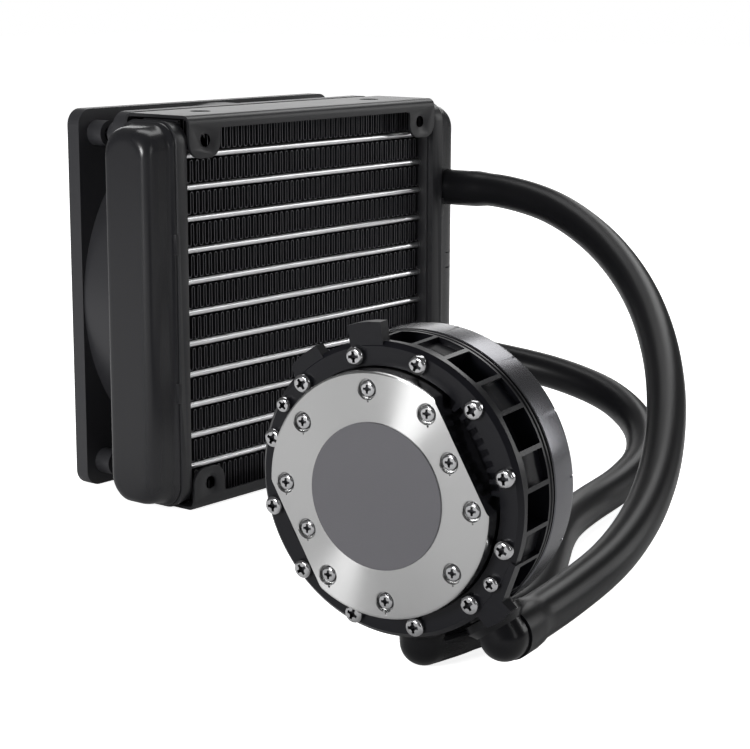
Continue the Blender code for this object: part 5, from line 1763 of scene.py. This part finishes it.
@dataclass
class Elbow(HeadPart):
    """A swivelling hose elbow: a round knuckle with a collar, a grooved stem and an outlet."""

    port: Port = PORTS[0]
    radius: float = 5.8 * MM
    knuckle: float = 6.05 * MM
    seat_gap: float = 0.3 * MM
    collar_radius: float = 7.2 * MM
    collar_height: float = 1.8 * MM
    collar_taper: float = 3.6 * MM
    stem_radius: float = 3.9 * MM
    stem_length: float = 4.5 * MM
    groove_radius: float = 3.1 * MM
    groove: Pair = (1.7 * MM, 2.8 * MM)
    bore: float = 2.2 * MM
    outlet: float = 8.2 * MM
    rounding: float = 0.25 * MM

    def build(self) -> None:
        """Builds the elbow on its port."""
        port = self.port
        base, radius, stem = -self.knuckle, self.radius, self.stem_radius
        near, far = (base - depth for depth in self.groove)
        tip = base - self.stem_length
        profile = arc((0, 0), radius, 90, 0, 12)
        profile[0] = (0, radius)
        profile += [
            (radius, base + self.collar_taper), (self.collar_radius, base + self.collar_height),
            (self.collar_radius, base), (stem, base), (stem, near), (self.groove_radius, near),
            (self.groove_radius, far), (stem, far), (stem, tip), (0, tip),
        ]
        body = turned(profile, 64)
        outlet = rod((0, 0, 0), (self.outlet, 0, 0), radius, 64)
        across = rod((0, 0, 0), (self.outlet + BEYOND, 0, 0), self.bore, 24)
        along = upright((0, 0), tip - BEYOND, self.bore, self.bore, 24)
        steps = [(Carving.ADD, outlet), (Carving.CUT, across), (Carving.CUT, along)]
        shape = carve(body, steps)
        lift = shift(z=port.seat + self.seat_gap + self.knuckle)
        shape.transform(HEAD @ self.port_frame(port.angle) @ lift @ turn_z(port.turn))
        name = f"elbow_{port.side}"
        finish_piece(
            name + "_fine", shape, (ELBOW_PLASTIC,), (name,), body=port.body,
            rounding=self.rounding,
        )


# Hoses


def running_length(points: np.ndarray) -> np.ndarray:
    """Returns the length along a polyline up to each point."""
    steps = np.linalg.norm(np.diff(points, axis=0), axis=1)
    return np.concatenate([[0], np.cumsum(steps)])


def spaced(points: np.ndarray, spacing: float) -> np.ndarray:
    """Spaces points evenly on a polyline.

    Args:
        points: The polyline.
        spacing: Distance between points, which is rounded to fit.

    Returns:
        The new points, with both ends kept.
    """
    run = running_length(points)
    stops = np.linspace(0, run[-1], round(run[-1] / spacing) + 1)
    return np.stack([np.interp(stops, run, points[:, axis]) for axis in range(3)], axis=1)


def smoothed(points: np.ndarray, rounds: int = 6) -> np.ndarray:
    """Eases small kinks.

    Args:
        points: The polyline.
        rounds: How often each point is eased.

    Returns:
        The eased points, with three at each end kept.
    """
    for _ in range(rounds):
        eased = points.copy()
        eased[3:-3] = 0.25 * points[2:-4] + 0.5 * points[3:-3] + 0.25 * points[4:-2]
        points = eased
    return points


def eased_step(value: float) -> float:
    """Returns a smooth rise from 0 to 1 while the value goes from 0 to 1."""
    share = min(max(value, 0), 1)
    return share * share * (3 - 2 * share)


@dataclass
class Hose:
    """One rubber hose from a tank port to an elbow, stretched over the barb at both ends."""

    name: str
    elbow: Body
    route_mm: tuple[Point3, ...]
    radius: float = 5.6 * MM
    root_swell: float = 0.5 * MM
    root_length: float = 17 * MM
    end_swell: float = 0.7 * MM
    end_length: float = 5 * MM
    swell_rise: float = 4 * MM
    sleeve: float = 6.6 * MM
    sides: int = 32
    ring_spacing: float = 2.5 * MM
    blend_rings: tuple[int, int] = (-34, -3)

    def path(self) -> np.ndarray:
        """Lays close points on a smooth curve through the route, with straight ends.

        Returns:
            The points, evenly spaced.
        """
        route = np.array(self.route_mm) * MM
        knots = route[1:-1]
        fine = [route[0]]
        for a, b, c, d in zip(route, route[1:], route[2:], route[3:]):
            for t in np.linspace(0, 1, 24, endpoint=False):
                turn = 2 * b + (c - a) * t + (2 * a - 5 * b + 4 * c - d) * t**2
                fine.append(0.5 * (turn + (3 * b - a - 3 * c + d) * t**3))
        fine = np.array([*fine, knots[-1], route[-1]])
        return spaced(smoothed(spaced(fine, self.ring_spacing)), self.ring_spacing)

    def radius_at(self, along: float, length: float) -> float:
        """Works out the radius, which grows over the barbs.

        Args:
            along: Length from the hose's root.
            length: The hose's whole length.

        Returns:
            The radius there.
        """
        root = eased_step((self.root_length - along) / self.swell_rise)
        tip = eased_step((self.end_length - length + along) / self.swell_rise)
        return self.radius + self.root_swell * root + self.end_swell * tip

    def tube(self, points: np.ndarray, tangents: np.ndarray, run: np.ndarray) -> Shape:
        """Sweeps the hose along its path and on over the elbow's outlet.

        Args:
            points: The path.
            tangents: Its direction at each point.
            run: The length along it up to each point.

        Returns:
            A closed shape.
        """
        shape = bmesh.new()
        side = Vector(tangents[0]).orthogonal().normalized()
        end = points[-1] + tangents[-1] * self.sleeve
        stops = [*zip(points, tangents, run), (end, tangents[-1], run[-1] + self.sleeve)]
        rings = []
        for point, tangent, along in stops:
            axis = Vector(tangent)
            side = (side - axis * side.dot(axis)).normalized()
            turn = Matrix((side, axis.cross(side), axis)).transposed().to_4x4()
            made = bmesh.ops.create_circle(
                shape, cap_ends=False, segments=self.sides,
                radius=self.radius_at(along, run[-1]),
                matrix=Matrix.Translation(Vector(point)) @ turn,
            )
            rings.append(made["verts"])
        for first, second in zip(rings, rings[1:]):
            edges = {e for v in first for e in v.link_edges if e.other_vert(v) in first}
            edges |= {e for v in second for e in v.link_edges if e.other_vert(v) in second}
            bmesh.ops.bridge_loops(shape, edges=list(edges))
        bmesh.ops.holes_fill(shape, edges=[e for e in shape.edges if e.is_boundary], sides=0)
        bmesh.ops.recalc_face_normals(shape, faces=shape.faces)
        return shape

    def build(self) -> None:
        points = self.path()
        tangents = np.gradient(points, axis=0)
        tangents /= np.linalg.norm(tangents, axis=1)[:, None]
        run = running_length(points)
        piece = finish_piece(
            self.name + "_fine", self.tube(points, tangents, run), (HOSE_RUBBER,),
            (self.name,), body=None, crease=60,
        )
        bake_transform(piece)


UPPER_ROUTE_MM: tuple[Point3, ...] = (
    (71.2, -11.6, 88.9), (71.2, -19.6, 88.9), (70.9, -34.0, 89.0), (69.1, -55.5, 85.5),
    (63.4, -75.9, 78.3), (53.1, -94.2, 70.1), (39.8, -110.3, 61.8), (24.6, -124.5, 53.2),
    (8.2, -136.9, 44.3), (-9.5, -147.5, 35.3), (-28.5, -156.3, 27.1), (-48.9, -163.1, 20.5),
    (-70.3, -167.5, 15.6), (-92.4, -169.5, 12.5), (-106.91, -170.75, 11.4),
    (-114.85, -171.65, 11.17),
)
LOWER_ROUTE_MM: tuple[Point3, ...] = (
    (71.2, -11.6, 31.1), (71.2, -19.6, 31.1), (74.0, -34.0, 29.7), (77.9, -54.3, 26.8),
    (76.6, -75.7, 22.2), (66.2, -94.0, 16.2), (48.6, -105.8, 10.8), (27.5, -110.9, 7.3),
    (5.7, -113.8, 5.9), (-15.6, -119.5, 6.0), (-35.6, -128.6, 6.9), (-55.0, -139.2, 7.2),
    (-73.5, -148.5, 7.0), (-91.5, -155.1, 6.8), (-100.5, -155.9, 6.7), (-109.57, -154.95, 6.59),
    (-117.34, -153.08, 6.23),
)


# Studio


@dataclass(frozen=True)
class Lamp:
    """A soft area light that looks at a point, and shows in glossy surfaces if mirrored."""

    name: str
    place: Point3
    aim: Point3
    size: Pair
    power: float
    mirrored: bool = True

    def build(self) -> None:
        """Adds the light."""
        data = bpy.data.lights.new(self.name, "AREA")
        data.shape = "RECTANGLE"
        data.size, data.size_y = self.size
        data.energy = self.power
        lamp = bpy.data.objects.new(self.name, data)
        bpy.context.scene.collection.objects.link(lamp)
        lamp.location = self.place
        lamp.visible_camera = False
        lamp.visible_glossy = self.mirrored
        sight = Vector(self.aim) - Vector(self.place)
        lamp.rotation_euler = sight.to_track_quat("-Z", "Y").to_euler()


@dataclass
class Studio:
    """The camera, the lights, the white surroundings and the floor.

    The camera was solved from the photograph, with its origin on the radiator's front face.
    """

    photo_width: int = 750
    focal_pixels: float = 1972.824
    sensor_width: float = 36
    rotation: Point3 = (1.63556277, -0.784248784, 0.647140518)
    offset_mm: Point3 = (-17.4974349, 32.7640307, 648.763930)
    front_face: float = -13.5 * MM
    clip_start: float = 0.01
    lamps: tuple[Lamp, ...] = (
        Lamp("key_panel", (-0.99, -0.06, 0.315), (-0.14, -0.15, 0.045), (0.27, 0.16), 5.6),
        Lamp("overhead", (0.24, 0.10, 0.95), (0.0, -0.05, 0.05), (0.7, 0.4), 3.2),
        Lamp("left_fill", (-1.10, 0.85, 0.35), (-0.05, 0.0, 0.06), (0.7, 0.5), 1.8, False),
        Lamp("front_strip", (-0.15, -1.35, 0.45), (0.0, -0.12, 0.05), (0.08, 0.6), 1.2),
        Lamp("right_panel", (0.71, 0.04, 0.69), (-0.13, -0.15, 0.05), (0.30, 0.42), 1.6),
        Lamp("side_panel", (1.0, -0.75, 0.42), (0.0, 0.0, 0.06), (0.14, 0.6), 2.2),
        Lamp("back_panel", (1.1, 0.95, 0.42), (0.0, 0.0, 0.10), (1.2, 0.45), 3.0),
    )
    world_light: float = 0.22
    world_gloss: float = 0.14
    floor_reach: float = 4.0
    floor_depth: float = 0.2 * MM
    floor_shade: float = 0.93
    floor_roughness: float = 0.9
    floor_glow: float = 0.85

    def build(self) -> None:
        """Builds the camera, lights, world and floor."""
        self.build_camera()
        for lamp in self.lamps:
            lamp.build()
        self.build_world()
        self.build_floor()

    def build_camera(self) -> None:
        """Places the camera that was solved from the photograph."""
        axis = Vector(self.rotation)
        turn = Matrix.Rotation(axis.length, 3, axis)
        place = turn.transposed() @ (-Vector(self.offset_mm)) * MM
        place.y += self.front_face
        data = bpy.data.cameras.new("camera")
        data.sensor_width = self.sensor_width
        data.lens = self.focal_pixels / self.photo_width * self.sensor_width
        data.clip_start = self.clip_start
        camera = bpy.data.objects.new("camera", data)
        bpy.context.scene.collection.objects.link(camera)
        right, down, forward = turn.row
        axes = Matrix((right, -down, -forward)).transposed().to_4x4()
        camera.matrix_world = Matrix.Translation(place) @ axes
        bpy.context.scene.camera = camera

    def build_world(self) -> None:
        """Makes the world, which is white to the camera and lights softly."""
        scene = bpy.context.scene
        scene.view_settings.view_transform = "Standard"
        world = bpy.data.worlds.new("surroundings")
        scene.world = world
        world.use_nodes = True
        tree = world.node_tree
        seen = add_node(tree, "LightPath", {}).outputs
        light, gloss = self.world_light, self.world_gloss
        level_inputs = {0: seen["Is Camera Ray"], 1: 1 - light, 2: light}
        level = add_node(tree, "Math", level_inputs, "MULTIPLY_ADD").outputs["Value"]
        strength_inputs = {0: seen["Is Glossy Ray"], 1: gloss - light, 2: level}
        strength = add_node(tree, "Math", strength_inputs, "MULTIPLY_ADD").outputs["Value"]
        feed(tree, tree.nodes["Background"], {"Color": (1, 1, 1, 1), "Strength": strength})

    def build_floor(self) -> None:
        """Makes the pale floor, which glows to the camera and keeps the shadow."""
        shape = bmesh.new()
        bmesh.ops.create_grid(
            shape, x_segments=1, y_segments=1, size=self.floor_reach,
            matrix=shift(z=-self.floor_depth),
        )
        floor = as_object("floor", shape)
        material = bpy.data.materials.new("floor_white")
        material.use_nodes = True
        tree = material.node_tree
        seen = add_node(tree, "LightPath", {}).outputs["Is Camera Ray"]
        glow = add_node(tree, "Math", {0: seen, 1: self.floor_glow}, "MULTIPLY")
        shade = self.floor_shade
        feed(tree, tree.nodes["Principled BSDF"], {
            "Base Color": (shade, shade, shade, 1),
            "Roughness": self.floor_roughness,
            "Specular IOR Level": 0.0,
            "Emission Color": (1, 1, 1, 1),
            "Emission Strength": glow.outputs["Value"],
        })
        floor.data.materials.append(material)


def dress_hidden_nodes() -> None:
    """Gives the solids that stay their finishes."""
    for name, finish in NODE_FINISHES.items():
        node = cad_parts[name]
        for slot in node.material_slots:
            slot.material = finish.material()


def main() -> None:
    """Builds the studio and every sub-assembly."""
    logging.basicConfig(level=logging.INFO, format="%(message)s")
    sub_assemblies = (
        Studio(),
        Hose("hose_upper", Body.RIGHT_ELBOW, UPPER_ROUTE_MM),
        Hose("hose_lower", Body.LEFT_ELBOW, LOWER_ROUTE_MM, end_swell=0.22 * MM),
        TubeCore(),
        FinRows(),
        SidePlate(name="side_plate_top"),
        SidePlate(name="side_plate_bottom", upside_down=True),
        EndTank(name="tank_left"),
        EndTank(name="tank_right", turned_round=False),
        Fan(),
        PumpRing(),
        ColdPlate(),
        PumpCap(),
        HeadScrews(),
        *(Elbow(port=port) for port in PORTS),
    )
    for sub_assembly in sub_assemblies:
        sub_assembly.build()
    dress_hidden_nodes()


if __name__ == "__main__":
    main()
